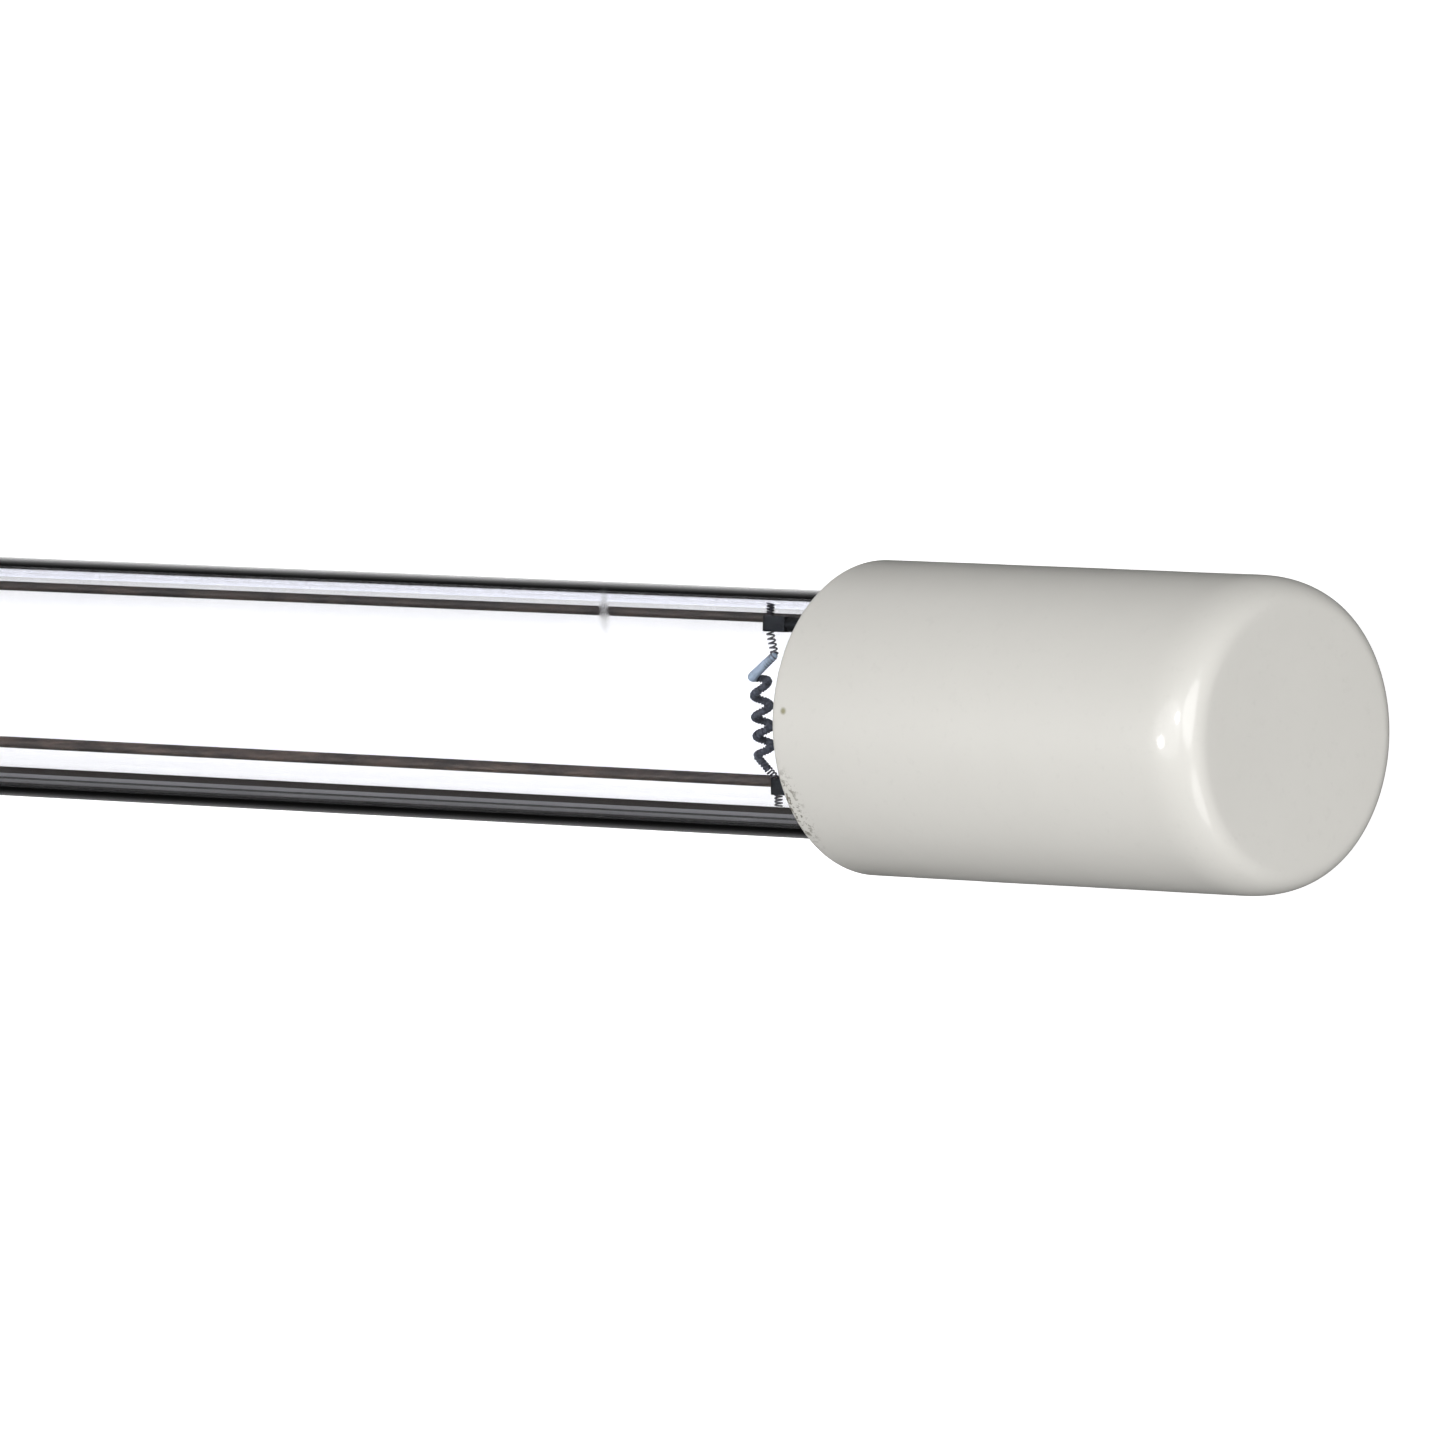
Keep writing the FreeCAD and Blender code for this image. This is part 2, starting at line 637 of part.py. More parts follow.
def make_cement():
    """A ring of cement that fills the gap and the grooves, open round the wires."""
    start = CEMENT_SETBACK
    end = CEMENT_SETBACK + CEMENT_LENGTH
    ring = rod(start, end, CERAMIC_BORE_R - CEMENT_SKIN)
    ring = ring.fuse(grooves(start, end, GROOVE_R - CEMENT_SKIN))
    ring = ring.cut(rod(start, end, TUBE_R + CEMENT_SKIN))
    channel_r = RETURN_WIRE_R + CEMENT_SKIN
    for side in (1, -1):
        y, z = wire_position(side)
        ring = ring.cut(rod(start, end, channel_r, y, z))
        depth = RETURN_WIRE_R + RETURN_WIRE_GAP
        corner = point(start, -channel_r, -WIRE_RING_R)
        slot = Part.makeBox(CEMENT_LENGTH, 2 * channel_r, depth, corner)
        slot.rotate(ORIGIN, X_AXIS, side * RETURN_WIRE_SPREAD_DEG)
        ring = ring.cut(slot)
    return ring.removeSplitter()


def make_mercury_bead():
    """The bead of mercury, lying on the bottom of the bore."""
    return Part.makeSphere(BEAD_R, point(BEAD_X, 0, BEAD_R + BEAD_GAP - BORE_R))


def make_sealed_pieces():
    """Foils and leads that the quartz closes round, by node name."""
    pieces = {}
    for name, side in (("a", 1), ("b", -1)):
        pieces["sealing_foil_cap_" + name] = at_cap(make_foil(TUBE_INTO_CAP, side))
        pieces["sealing_foil_base_" + name] = at_base(make_foil(TUBE_INTO_BASE, side))
        pieces["inner_lead_cap_" + name] = at_cap(make_inner_lead(TUBE_INTO_CAP, side))
        pieces["inner_lead_base_" + name] = at_base(make_inner_lead(TUBE_INTO_BASE, side))
        pieces["outer_lead_cap_" + name] = make_outer_lead_cap(side)
        pieces["outer_lead_base_" + name] = make_outer_lead_base(side)
    return pieces


def make_nodes():
    nodes = make_sealed_pieces()
    nodes["quartz_envelope"] = make_envelope(list(nodes.values()))
    nodes["end_cap"] = make_end_cap()
    nodes["pin_base"] = make_pin_base()
    nodes["capping_cement_cap"] = at_cap(make_cement())
    nodes["capping_cement_base"] = at_base(make_cement())
    nodes["filament_cap"] = at_cap(make_filament())
    nodes["filament_base"] = at_base(make_filament())
    nodes["mercury_bead"] = make_mercury_bead()
    for name, side in (("a", 1), ("b", -1)):
        nodes["return_wire_" + name] = make_return_wire(side)
        nodes["splice_sleeve_" + name] = make_splice_sleeve(side)
        nodes["return_pin_" + name] = make_pin(side, -1)
        nodes["filament_pin_" + name] = make_pin(side, 1)
    return nodes


os.makedirs("parts", exist_ok=True)
for node_name, node_shape in make_nodes().items():
    node_shape.exportStep("parts/" + node_name + ".step")
    print(node_name, len(node_shape.Solids), node_shape.isValid(), round(node_shape.Volume, 3))
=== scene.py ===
"""A germicidal lamp: a quartz tube between a plain glazed cap and a base with four pins."""

import math

import bmesh
import bpy
import numpy as np
from mathutils import Matrix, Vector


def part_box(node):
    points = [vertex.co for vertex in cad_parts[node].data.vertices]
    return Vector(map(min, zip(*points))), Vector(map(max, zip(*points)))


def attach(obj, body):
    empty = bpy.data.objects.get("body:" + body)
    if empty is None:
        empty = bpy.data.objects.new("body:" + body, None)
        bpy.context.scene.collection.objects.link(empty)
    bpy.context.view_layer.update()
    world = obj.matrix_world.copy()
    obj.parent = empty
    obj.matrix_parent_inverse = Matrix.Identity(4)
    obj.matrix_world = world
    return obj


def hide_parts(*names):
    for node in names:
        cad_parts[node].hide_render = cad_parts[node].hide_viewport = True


bl_info = {
    "name": "Germicidal lamp tube",
    "version": (1, 0, 0),
    "blender": (4, 5, 0),
    "location": "3D View > Sidebar > Lamp tube",
    "description": "Dresses the lamp's solids in quartz, glazed ceramic and wire",
    "category": "Object",
}

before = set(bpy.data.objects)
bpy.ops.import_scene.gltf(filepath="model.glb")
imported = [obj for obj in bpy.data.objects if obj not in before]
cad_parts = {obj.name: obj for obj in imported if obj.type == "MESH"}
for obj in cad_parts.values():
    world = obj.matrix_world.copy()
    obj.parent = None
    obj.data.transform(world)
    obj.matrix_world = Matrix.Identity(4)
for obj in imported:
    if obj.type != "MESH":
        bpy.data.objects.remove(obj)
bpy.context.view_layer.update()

MM = 0.001
BODY = "root"
PIECE_SIDES = ("a", "b")


def node_box(name):
    """Lowest and highest corner of a solid, in millimetres."""
    low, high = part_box(name)
    return np.array(low) / MM, np.array(high) / MM


CAP_LOW, CAP_HIGH = node_box("end_cap")
CAP_MOUTH = float(CAP_LOW[0])
CAP_FACE = float(CAP_HIGH[0])
CAP_RADIUS = float(CAP_HIGH[1])
BASE_MOUTH = float(node_box("pin_base")[1][0])


def length(name, description, millimetres):
    """A size that the sidebar shows in the scene's unit of length."""
    return bpy.props.FloatProperty(
        name=name, description=description, default=millimetres * MM, min=0.0,
        precision=5, unit="LENGTH")


def turn(name, description, degrees):
    """An angle, given in degrees."""
    return bpy.props.FloatProperty(
        name=name, description=description, default=math.radians(degrees), subtype="ANGLE")


def shade(name, description, colour):
    """A colour, written as the share of light that it gives back."""
    return bpy.props.FloatVectorProperty(
        name=name, description=description, default=colour, min=0.0, max=1.0,
        size=3, subtype="COLOR")


def count(name, description, number):
    """A number of turns, or of points round a piece."""
    return bpy.props.IntProperty(name=name, description=description, default=number, min=3)


class LampTubeSizes(bpy.types.PropertyGroup):
    radius: length("Radius", "Outer radius of the quartz tube", 7.5)
    wall: length("Wall", "Thickness of the quartz wall", 0.55)
    shoulder_radius: length("Shoulder radius", "Side view radius of a pressed end", 5.2)
    fillet_radius: length("Fillet radius", "Radius between shoulder and flat", 0.8)
    seal_half: length("Half seal", "Half thickness of a pressed seal", 1.8)
    seal_length: length("Seal length", "Length of the flat of a seal", 10.0)
    dome_length: length("Dome length", "Length over which the bore closes", 4.2)
    into_cap: length("Into cap", "Straight tube inside the cap", 8.6075)
    into_base: length("Into base", "Straight tube inside the base", 4.0075)
    tip_radius: length("Tip radius", "Radius of the pumping stub", 1.4)
    tip_length: length("Tip length", "Length of the pumping stub", 3.4)
    seal_turn: turn("Seal turn", "Turn of the seals about the lamp's axis", 4.9)
    around: count("Points around", "Points round the tube", 320)


class LampCeramicSizes(bpy.types.PropertyGroup):
    bore_radius: length("Bore radius", "Radius of the cap's bore", 7.85)
    end_wall: length("End wall", "Thickness of the cap's end", 2.5)
    edge_radial: length("Edge inward", "How far the soft edge goes inward", 1.8)
    edge_axial: length("Edge along", "How far the soft edge goes along the cap", 3.7)
    mouth_edge: length("Mouth edge", "Radius of the rim at the mouth", 0.3)
    cavity_corner: length("Cavity corner", "Radius in the bottom of the bore", 1.0)
    groove_radius: length("Groove radius", "Radius of a groove over a wire", 0.67)
    wire_ring: length("Wire ring", "Distance of the wires from the axis", 7.97)
    wire_spread: turn("Wire spread", "Angle of each wire from straight down", 44.1)
    lump: length("Lump", "Height of the unevenness in the glaze", 0.02)
    around: count("Points around", "Points round the cap", 288)


class LampFilamentSizes(bpy.types.PropertyGroup):
    before_mouth: length("Before mouth", "Distance of a filament from the mouth", 8.75)
    upper_across: length("Upper hook", "Distance of the upper hook from the axis", 5.375)
    lower_across: length("Lower hook", "Distance of the lower hook from the axis", 4.475)
    hook_height: length("Hook height", "Width of the folded lead", 0.95)
    tail: length("Tail", "Strand that stands out of a hook", 0.75)
    stagger: length("Stagger", "How much nearer the mouth the lower hook is", 0.6)
    upper_leg: length("Upper leg", "Level of the turns under the upper hook", 2.77)
    lower_leg: length("Lower leg", "Level of the turns over the lower hook", 1.34)
    knee: length("Knee", "How far the upper leg swings out", 0.38)
    knee_level: length("Knee level", "Level of the knee under the upper hook", 1.42)
    turn_radius: length("Turn radius", "Radius of the large turns", 0.46)
    aside: length("Aside", "How far the turns stand from the hooks", 0.58)
    turn_start: turn("Turn start", "Angle at which the large turns begin", -44.0)
    coil_radius: length("Coil radius", "Outer radius of the fine coil", 0.268)
    wire_radius: length("Wire radius", "Radius of the fine coil's wire", 0.055)
    coil_pitch: length("Coil pitch", "Distance between turns of the fine coil", 0.2)
    coat_radius: length("Coat radius", "Radius of the coating on the coil", 0.205)
    knee_coat_radius: length("Knee coat radius", "Radius of the coating at the knee", 0.235)
    leg_coat_radius: length("Leg coat radius", "Radius of the coating by the turns", 0.31)
    turns: count("Turns", "Number of large turns", 4)


class LampFinishes(bpy.types.PropertyGroup):
    glaze: shade("Glaze", "Body colour of the glazed ceramic", (0.78, 0.765, 0.72))
    cement: shade("Cement", "Capping cement", (0.62, 0.60, 0.55))
    return_wire: shade("Return wire", "Oxidised return wires", (0.019, 0.013, 0.010))
    lead: shade("Lead", "Leads and hooks", (0.05, 0.055, 0.065))
    coating: shade("Coating", "Coated strand of the filament", (0.02, 0.023, 0.033))
    leg_coating: shade("Leg coating", "Thick coating on the upper leg", (0.165, 0.21, 0.27))
    coil_wire: shade("Coil wire", "Wire of the fine coil", (0.16, 0.16, 0.19))
    pin: shade("Pin", "Contact pins", (0.72, 0.70, 0.64))
    sleeve: shade("Sleeve", "Splice sleeves", (0.55, 0.53, 0.48))
    foil: shade("Foil", "Sealing foils", (0.50, 0.50, 0.52))
    mercury: shade("Mercury", "Bead of mercury", (0.80, 0.80, 0.82))


class LampStageSizes(bpy.types.PropertyGroup):
    yaw: turn("Yaw", "Turn of the lamp away from the picture's plane", 43.51)
    pitch: turn("Pitch", "Slope of the lamp in the picture", 2.0)
    roll: turn("Roll", "Turn of the lamp about its own axis", 9.4)
    right: length("Right", "The cap's face to the right of the picture's middle", 33.76)
    below: length("Below", "The cap's face below the picture's middle", 0.697)
    away: length("Away", "The cap's face away from the camera", 1058.9)
    lens: bpy.props.FloatProperty(
        name="Lens", description="Focal length in millimetres", default=446.59, min=1.0)
    floor_height: bpy.props.FloatProperty(
        name="Floor height", description="Height of the floor under the lamp's axis",
        default=float(CAP_LOW[2]) * MM, precision=5, unit="LENGTH")


# Node trees

def feed(tree, node, sockets):
    """Links each socket of a node that is given a socket, and sets the others."""
    for key, value in sockets.items():
        if isinstance(value, bpy.types.NodeSocket):
            tree.links.new(value, node.inputs[key])
        else:
            node.inputs[key].default_value = value


def put(tree, kind, sockets=None, **settings):
    """Adds a node, with its settings and what its sockets are given."""
    made = tree.nodes.new(kind)
    for name, value in settings.items():
        setattr(made, name, value)
    feed(tree, made, sockets or {})
    return made


def calculated(tree, operation, *values):
    """The result of a sum on values or sockets."""
    return put(tree, "ShaderNodeMath", dict(enumerate(values)), operation=operation).outputs[0]


def new_group(name, inputs, outputs):
    """A node group with named sockets, its inputs' sockets and its output node. Each input
    is (kind, default)."""
    tree = bpy.data.node_groups.new(name, "ShaderNodeTree")
    for socket, (kind, default) in inputs.items():
        made = tree.interface.new_socket(socket, in_out="INPUT", socket_type=kind)
        made.default_value = default
    for socket, kind in outputs.items():
        tree.interface.new_socket(socket, in_out="OUTPUT", socket_type=kind)
    return tree, tree.nodes.new("NodeGroupInput").outputs, tree.nodes.new("NodeGroupOutput")


FLOAT = "NodeSocketFloat"
VECTOR = "NodeSocketVector"
FINE_SHARE = 0.4


def make_mottle_group():
    """Two scales of noise on the object, cut to a mask, with its height."""
    tree, given, result = new_group(
        "Mottle",
        {"Scale": (FLOAT, 400.0), "Stretch": (VECTOR, (1.0, 1.0, 1.0)), "Low": (FLOAT, 0.4),
         "High": (FLOAT, 0.6), "Grain": (FLOAT, 3.0)},
        {"Mask": FLOAT, "Height": FLOAT})
    place = put(tree, "ShaderNodeTexCoord").outputs["Object"]
    stretched = put(tree, "ShaderNodeMapping", {"Vector": place, "Scale": given["Stretch"]})
    broad = put(tree, "ShaderNodeTexNoise", {
        "Vector": stretched.outputs[0], "Scale": given["Scale"], "Detail": 3.0})
    fine_scale = calculated(tree, "MULTIPLY", given["Scale"], given["Grain"])
    fine = put(tree, "ShaderNodeTexNoise", {
        "Vector": stretched.outputs[0], "Scale": fine_scale, "Detail": 5.0, "Roughness": 0.65})
    blend = put(tree, "ShaderNodeMix", {
        0: FINE_SHARE, 2: broad.outputs[0], 3: fine.outputs[0]}, data_type="FLOAT")
    mask = put(tree, "ShaderNodeMapRange", {
        "Value": blend.outputs[0], "From Min": given["Low"], "From Max": given["High"]})
    feed(tree, result, {"Mask": mask.outputs[0], "Height": blend.outputs[0]})
    return tree


def make_speck_group():
    """Small separate dots scattered over the object."""
    tree, given, result = new_group(
        "Specks",
        {"Scale": (FLOAT, 300.0), "Size": (FLOAT, 0.12), "Share": (FLOAT, 0.2)},
        {"Mask": FLOAT})
    place = put(tree, "ShaderNodeTexCoord").outputs["Object"]
    cells = put(tree, "ShaderNodeTexVoronoi", {
        "Vector": place, "Scale": given["Scale"], "Randomness": 1.0})
    near = put(tree, "ShaderNodeMapRange", {
        "Value": cells.outputs["Distance"], "From Min": given["Size"], "From Max": 0.0})
    pick = put(tree, "ShaderNodeSeparateColor", {0: cells.outputs["Color"]})
    chosen = calculated(tree, "LESS_THAN", pick.outputs[0], given["Share"])
    feed(tree, result, {"Mask": calculated(tree, "MULTIPLY", near.outputs[0], chosen)})
    return tree


def make_spot_group():
    """One soft patch with a ragged edge, at a place on the object."""
    tree, given, result = new_group(
        "Spot",
        {"Centre": (VECTOR, (0.0, 0.0, 0.0)), "Reach": (VECTOR, (1.0, 1.0, 1.0)),
         "Skew": (FLOAT, 0.0), "Ragged": (FLOAT, 0.4), "Scale": (FLOAT, 900.0)},
        {"Mask": FLOAT})
    place = put(tree, "ShaderNodeTexCoord").outputs["Object"]
    off = put(tree, "ShaderNodeVectorMath", {0: place, 1: given["Centre"]},
              operation="SUBTRACT")
    apart = put(tree, "ShaderNodeSeparateXYZ", {0: off.outputs[0]})
    leaned = calculated(tree, "MULTIPLY_ADD", apart.outputs[2], given["Skew"], apart.outputs[0])
    upright = put(tree, "ShaderNodeCombineXYZ", {
        0: leaned, 1: apart.outputs[1], 2: apart.outputs[2]})
    scaled = put(tree, "ShaderNodeVectorMath", {0: upright.outputs[0], 1: given["Reach"]},
                 operation="DIVIDE")
    far = put(tree, "ShaderNodeVectorMath", {0: scaled.outputs[0]}, operation="LENGTH")
    noise = put(tree, "ShaderNodeTexNoise", {
        "Vector": place, "Scale": given["Scale"], "Detail": 4.0})
    wobble = calculated(tree, "MULTIPLY_ADD", noise.outputs[0], given["Ragged"],
                        far.outputs["Value"])
    mask = put(tree, "ShaderNodeMapRange", {
        "Value": wobble, "From Min": 1.3, "From Max": 0.5},
        interpolation_type="SMOOTHSTEP")
    feed(tree, result, {"Mask": mask.outputs[0]})
    return tree


def group_node(tree, name, sockets):
    """Places a shared effect in a material, and makes it on its first use."""
    makers = {"Mottle": make_mottle_group, "Specks": make_speck_group, "Spot": make_spot_group}
    group = bpy.data.node_groups.get(name) or makers[name]()
    return put(tree, "ShaderNodeGroup", sockets, node_tree=group)


def mixed_colour(tree, mask, first, second):
    """The first colour where the mask is 0 and the second where it is 1."""
    first, second = [colour if isinstance(colour, bpy.types.NodeSocket) else (*colour, 1.0)
                     for colour in (first, second)]
    return put(tree, "ShaderNodeMix", {0: mask, 6: first, 7: second}, data_type="RGBA").outputs[2]


def scaled_colour(colour, factor):
    """A colour made darker or lighter, up to full."""
    return tuple(min(channel * factor, 1.0) for channel in colour)


def new_material(name):
    """The node tree of a new material, and the Principled shader in it."""
    material = bpy.data.materials.new("lamp_" + name)
    material.use_nodes = True
    return material.node_tree, material.node_tree.nodes["Principled BSDF"]


def finish(name):
    """A material that has been made."""
    return bpy.data.materials["lamp_" + name]


def bumps(tree, height, distance, strength=1.0):
    """The normals of small bumps, with their full height in metres."""
    return put(tree, "ShaderNodeBump", {
        "Height": height, "Distance": distance, "Strength": strength}).outputs[0]


def varied(tree, mask, low, high):
    """A value that runs from low to high with the mask."""
    return put(tree, "ShaderNodeMapRange", {"Value": mask, "To Min": low, "To Max": high}).outputs[0]


SMUDGE_STRENGTH = 0.3


def quartz_material():
    """Clear quartz with faint draw lines, a few dust dots and one smudge."""
    tree, shader = new_material("clear_quartz")
    lines = group_node(tree, "Mottle", {"Scale": 120.0, "Stretch": (0.02, 1.0, 1.0), "Grain": 1.7})
    dust = group_node(tree, "Specks", {"Scale": 190.0, "Size": 0.045, "Share": 0.12})
    smudge = group_node(tree, "Spot", {
        "Centre": (0.23535, 0.0061, 0.0044), "Reach": (0.00055, 0.0013, 0.01), "Skew": -0.945})
    soiled = calculated(tree, "MULTIPLY_ADD", smudge.outputs[0], SMUDGE_STRENGTH, dust.outputs[0])
    feed(tree, shader, {
        "Transmission Weight": 1.0,
        "IOR": 1.458,
        "Base Color": mixed_colour(tree, soiled, (0.98, 0.983, 1.0), (0.55, 0.54, 0.52)),
        "Roughness": varied(tree, soiled, 0.0, 0.35),
        "Normal": bumps(tree, lines.outputs["Height"], 0.0000001)})
    lets_light_by = put(tree, "ShaderNodeBsdfTransparent", {"Color": (0.97, 0.97, 0.975, 1.0)})
    path = put(tree, "ShaderNodeLightPath")
    mix = put(tree, "ShaderNodeMixShader", {
        0: path.outputs["Is Shadow Ray"], 1: shader.outputs[0], 2: lets_light_by.outputs[0]})
    feed(tree, tree.nodes["Material Output"], {"Surface": mix.outputs[0]})


def glaze_material(name, colour, marks=()):
    """White glazed ceramic: soft patches, pores, a glossy skin, and marks, each a place, a
    reach, a colour and whether it is grainy."""
    tree, shader = new_material(name)
    patches = group_node(tree, "Mottle", {"Scale": 70.0, "Low": 0.35, "High": 0.68})
    grain = group_node(tree, "Mottle", {"Scale": 1500.0, "Low": 0.56, "High": 0.72})
    specks = group_node(tree, "Specks", {"Scale": 260.0, "Size": 0.05, "Share": 0.1})
    body = mixed_colour(tree, patches.outputs["Mask"], scaled_colour(colour, 0.965), colour)
    grained = mixed_colour(tree, varied(tree, grain.outputs["Mask"], 0.0, 0.5),
                           body, scaled_colour(colour, 0.88))
    spotted = mixed_colour(tree, specks.outputs[0], grained, (0.20, 0.17, 0.12))
    for centre, reach, tone, sandy in marks:
        spot = group_node(tree, "Spot", {"Centre": centre, "Reach": reach}).outputs[0]
        if sandy:
            sand = group_node(tree, "Mottle", {"Scale": 2600.0, "Low": 0.5, "High": 0.56})
            spot = calculated(tree, "MULTIPLY", spot, sand.outputs["Mask"])
        spotted = mixed_colour(tree, spot, spotted, tone)
    feed(tree, shader, {
        "Base Color": spotted,
        "Roughness": varied(tree, patches.outputs["Mask"], 0.42, 0.34),
        "Coat Weight": varied(tree, grain.outputs["Mask"], 0.7, 0.5),
        "Coat Roughness": 0.1,
        "Normal": bumps(tree, grain.outputs["Height"], 0.00002, 0.5)})


def grit_material(name, colour):
    """Cement: sandy, with light and dark grains."""
    tree, shader = new_material(name)
    sand = group_node(tree, "Mottle", {"Scale": 900.0, "Low": 0.36, "High": 0.64})
    grains = group_node(tree, "Specks", {"Scale": 2200.0, "Size": 0.4, "Share": 0.35})
    body = mixed_colour(tree, sand.outputs["Mask"], scaled_colour(colour, 0.7), colour)
    feed(tree, shader, {
        "Base Color": mixed_colour(tree, grains.outputs[0], body, scaled_colour(colour, 1.3)),
        "Roughness": varied(tree, sand.outputs["Mask"], 0.95, 0.75),
        "Normal": bumps(tree, sand.outputs["Height"], 0.0002)})


ALONG_WIRE = (0.25, 1.0, 1.0)
ALL_WAYS = (1.0, 1.0, 1.0)

# Name, setting that holds its colour, share of that colour in the stains, roughness outside
# and in the stains, metallic, scale and stretch of the stains
STAINED_FINISHES = (
    ("return_wire", "return_wire", 4.0, 0.62, 0.45, 0.0, 900.0, ALONG_WIRE),
    ("lead_metal", "lead", 0.45, 0.32, 0.5, 1.0, 900.0, ALONG_WIRE),
    ("filament_coating", "coating", 2.4, 0.8, 0.6, 0.0, 2600.0, ALL_WAYS),
    ("leg_coating", "leg_coating", 1.5, 0.6, 0.5, 0.0, 1500.0, ALL_WAYS),
    ("coil_wire", "coil_wire", 0.3, 0.3, 0.5, 1.0, 2600.0, ALL_WAYS),
    ("contact_pin", "pin", 0.75, 0.22, 0.38, 1.0, 900.0, ALONG_WIRE),
    ("splice_sleeve", "sleeve", 0.6, 0.3, 0.5, 1.0, 900.0, ALONG_WIRE),
    ("sealing_foil", "foil", 0.7, 0.25, 0.4, 1.0, 900.0, ALONG_WIRE),
    ("mercury", "mercury", 0.9, 0.04, 0.1, 1.0, 900.0, ALONG_WIRE),
)


def stained_material(name, colour, stain, rough, stained_rough, metallic, scale, stretch):
    """Metal or a coating with stained patches, in which its gloss changes too."""
    tree, shader = new_material(name)
    stains = group_node(tree, "Mottle", {"Scale": scale, "Stretch": stretch,
                                         "Low": 0.42, "High": 0.62})
    mask = stains.outputs["Mask"]
    feed(tree, shader, {
        "Base Color": mixed_colour(tree, mask, colour, scaled_colour(colour, stain)),
        "Metallic": metallic,
        "Roughness": varied(tree, mask, rough, stained_rough),
        "Normal": bumps(tree, stains.outputs["Height"], 0.00001, 0.6)})


# Place and reach in metres, colour, and whether it is grainy: an olive speck, cement on the
# rim and a lump of glaze
CAP_MARKS = (
    ((0.2544, 0.00165, 0.00936), (0.0003, 0.00028, 0.0004), (0.36, 0.34, 0.22), False),
    ((0.2537, -0.0046, 0.0083), (0.0014, 0.0034, 0.0034), (0.24, 0.22, 0.18), True),
    ((0.2536, 0.0094, -0.0013), (0.0012, 0.0022, 0.0026), (0.52, 0.50, 0.46), False),
)


# Surfaces

SHOULDER_STEPS = 24
FILLET_STEPS = 10
DOME_STEPS = 28
TIP_STEPS = 10
TIP_AROUND = 32
TIP_SUNK = 1 / 3
CORNER_STEPS = 8
EDGE_STEPS = 40
EDGE_FULLNESS = 0.82
BODY_STEPS = 120
BORE_STEPS = 12
FACE_STEPS = 12


def grid_faces(rows, columns):
    """Quads of a grid that is closed round its columns, wound so that they face outwards
    when the rows go forward and the columns go anticlockwise as seen from the last row."""
    row, column = np.meshgrid(np.arange(rows - 1), np.arange(columns), indexing="ij")
    after = (column + 1) % columns
    quads = np.stack([row * columns + column, (row + 1) * columns + column,
                      (row + 1) * columns + after, row * columns + after], axis=-1)
    return quads.reshape(-1, 4)[:, ::-1]


def new_object(name, data, axes=np.eye(3), place=(0.0, 0.0, 0.0)):
    """An object in the scene, with its axes as columns and its place in metres."""
    made = bpy.data.objects.new(name, data)
    matrix = np.eye(4)
    matrix[:3, :3] = axes
    matrix[:3, 3] = place
    made.matrix_world = Matrix(matrix.tolist())
    bpy.context.scene.collection.objects.link(made)
    return made


def mesh_piece(name, parts, material):
    """One object from (points, quads) parts in millimetres, with its doubles merged."""
    points = []
    quads = []
    start = 0
    for part_points, part_quads in parts:
        points.append(part_points.reshape(-1, 3))
        quads.append(part_quads + start)
        start += len(points[-1])
    mesh = bpy.data.meshes.new(name)
    mesh.from_pydata(np.concatenate(points) * MM, [], np.concatenate(quads).tolist())
    work = bmesh.new()
    work.from_mesh(mesh)
    bmesh.ops.remove_doubles(work, verts=work.verts, dist=1e-7)
    bmesh.ops.dissolve_degenerate(work, edges=work.edges, dist=1e-8)
    work.to_mesh(mesh)
    work.free()
    mesh.shade_smooth()
    mesh.materials.append(material)
    return new_object(name, mesh)


def quarter(start_deg, end_deg, steps):
    """Angles of an arc, both ends included."""
    return np.radians(np.linspace(start_deg, end_deg, steps))


def turned_points(x, across, above, angle):
    """Points given in the seal's plane, turned about the lamp's axis."""
    y = across * math.cos(angle) + above * math.sin(angle)
    z = above * math.cos(angle) - across * math.sin(angle)
    return np.stack([np.broadcast_to(x, y.shape), y, z], axis=-1)


def pressed_profile(sizes):
    """Distance past the shoulder and half height of the pressed outside: a round
    shoulder, a fillet that is tangent to it, and the flat of the seal."""
    rise = sizes.radius - sizes.shoulder_radius - sizes.seal_half - sizes.fillet_radius
    reach = math.sqrt((sizes.shoulder_radius + sizes.fillet_radius) ** 2 - rise ** 2)
    slope = math.degrees(math.atan2(-rise, reach))
    shoulder = quarter(90, slope, SHOULDER_STEPS)
    fillet = quarter(180 + slope, 270, FILLET_STEPS)
    x = np.concatenate([sizes.shoulder_radius * np.cos(shoulder),
                        reach + sizes.fillet_radius * np.cos(fillet),
                        [reach + sizes.seal_length, reach + sizes.seal_length]])
    centre = sizes.radius - sizes.shoulder_radius
    half = np.concatenate([centre + sizes.shoulder_radius * np.sin(shoulder),
                           sizes.seal_half + sizes.fillet_radius * (1 + np.sin(fillet)),
                           [sizes.seal_half, 0.0]])
    return x / MM, half / MM


def flattened_tube(x, half, radius, angle, around):
    """A round section squeezed flat: (radius cos, the height radius sin held to half)."""
    round_angle = np.linspace(0, 2 * math.pi, around, endpoint=False)
    across = np.broadcast_to(radius * np.cos(round_angle), (len(x), around))
    above = np.clip(radius * np.sin(round_angle), -half[:, None], half[:, None])
    return turned_points(x[:, None], across, above, angle)


def tube_stations(sizes, profile):
    """Both ends' profiles joined by the straight tube, from the base to the cap."""
    offset, half = profile
    cap_x = CAP_MOUTH + sizes.into_cap / MM + offset
    base_x = BASE_MOUTH - sizes.into_base / MM - offset
    return np.concatenate([base_x[::-1], cap_x]), np.concatenate([half[::-1], half])


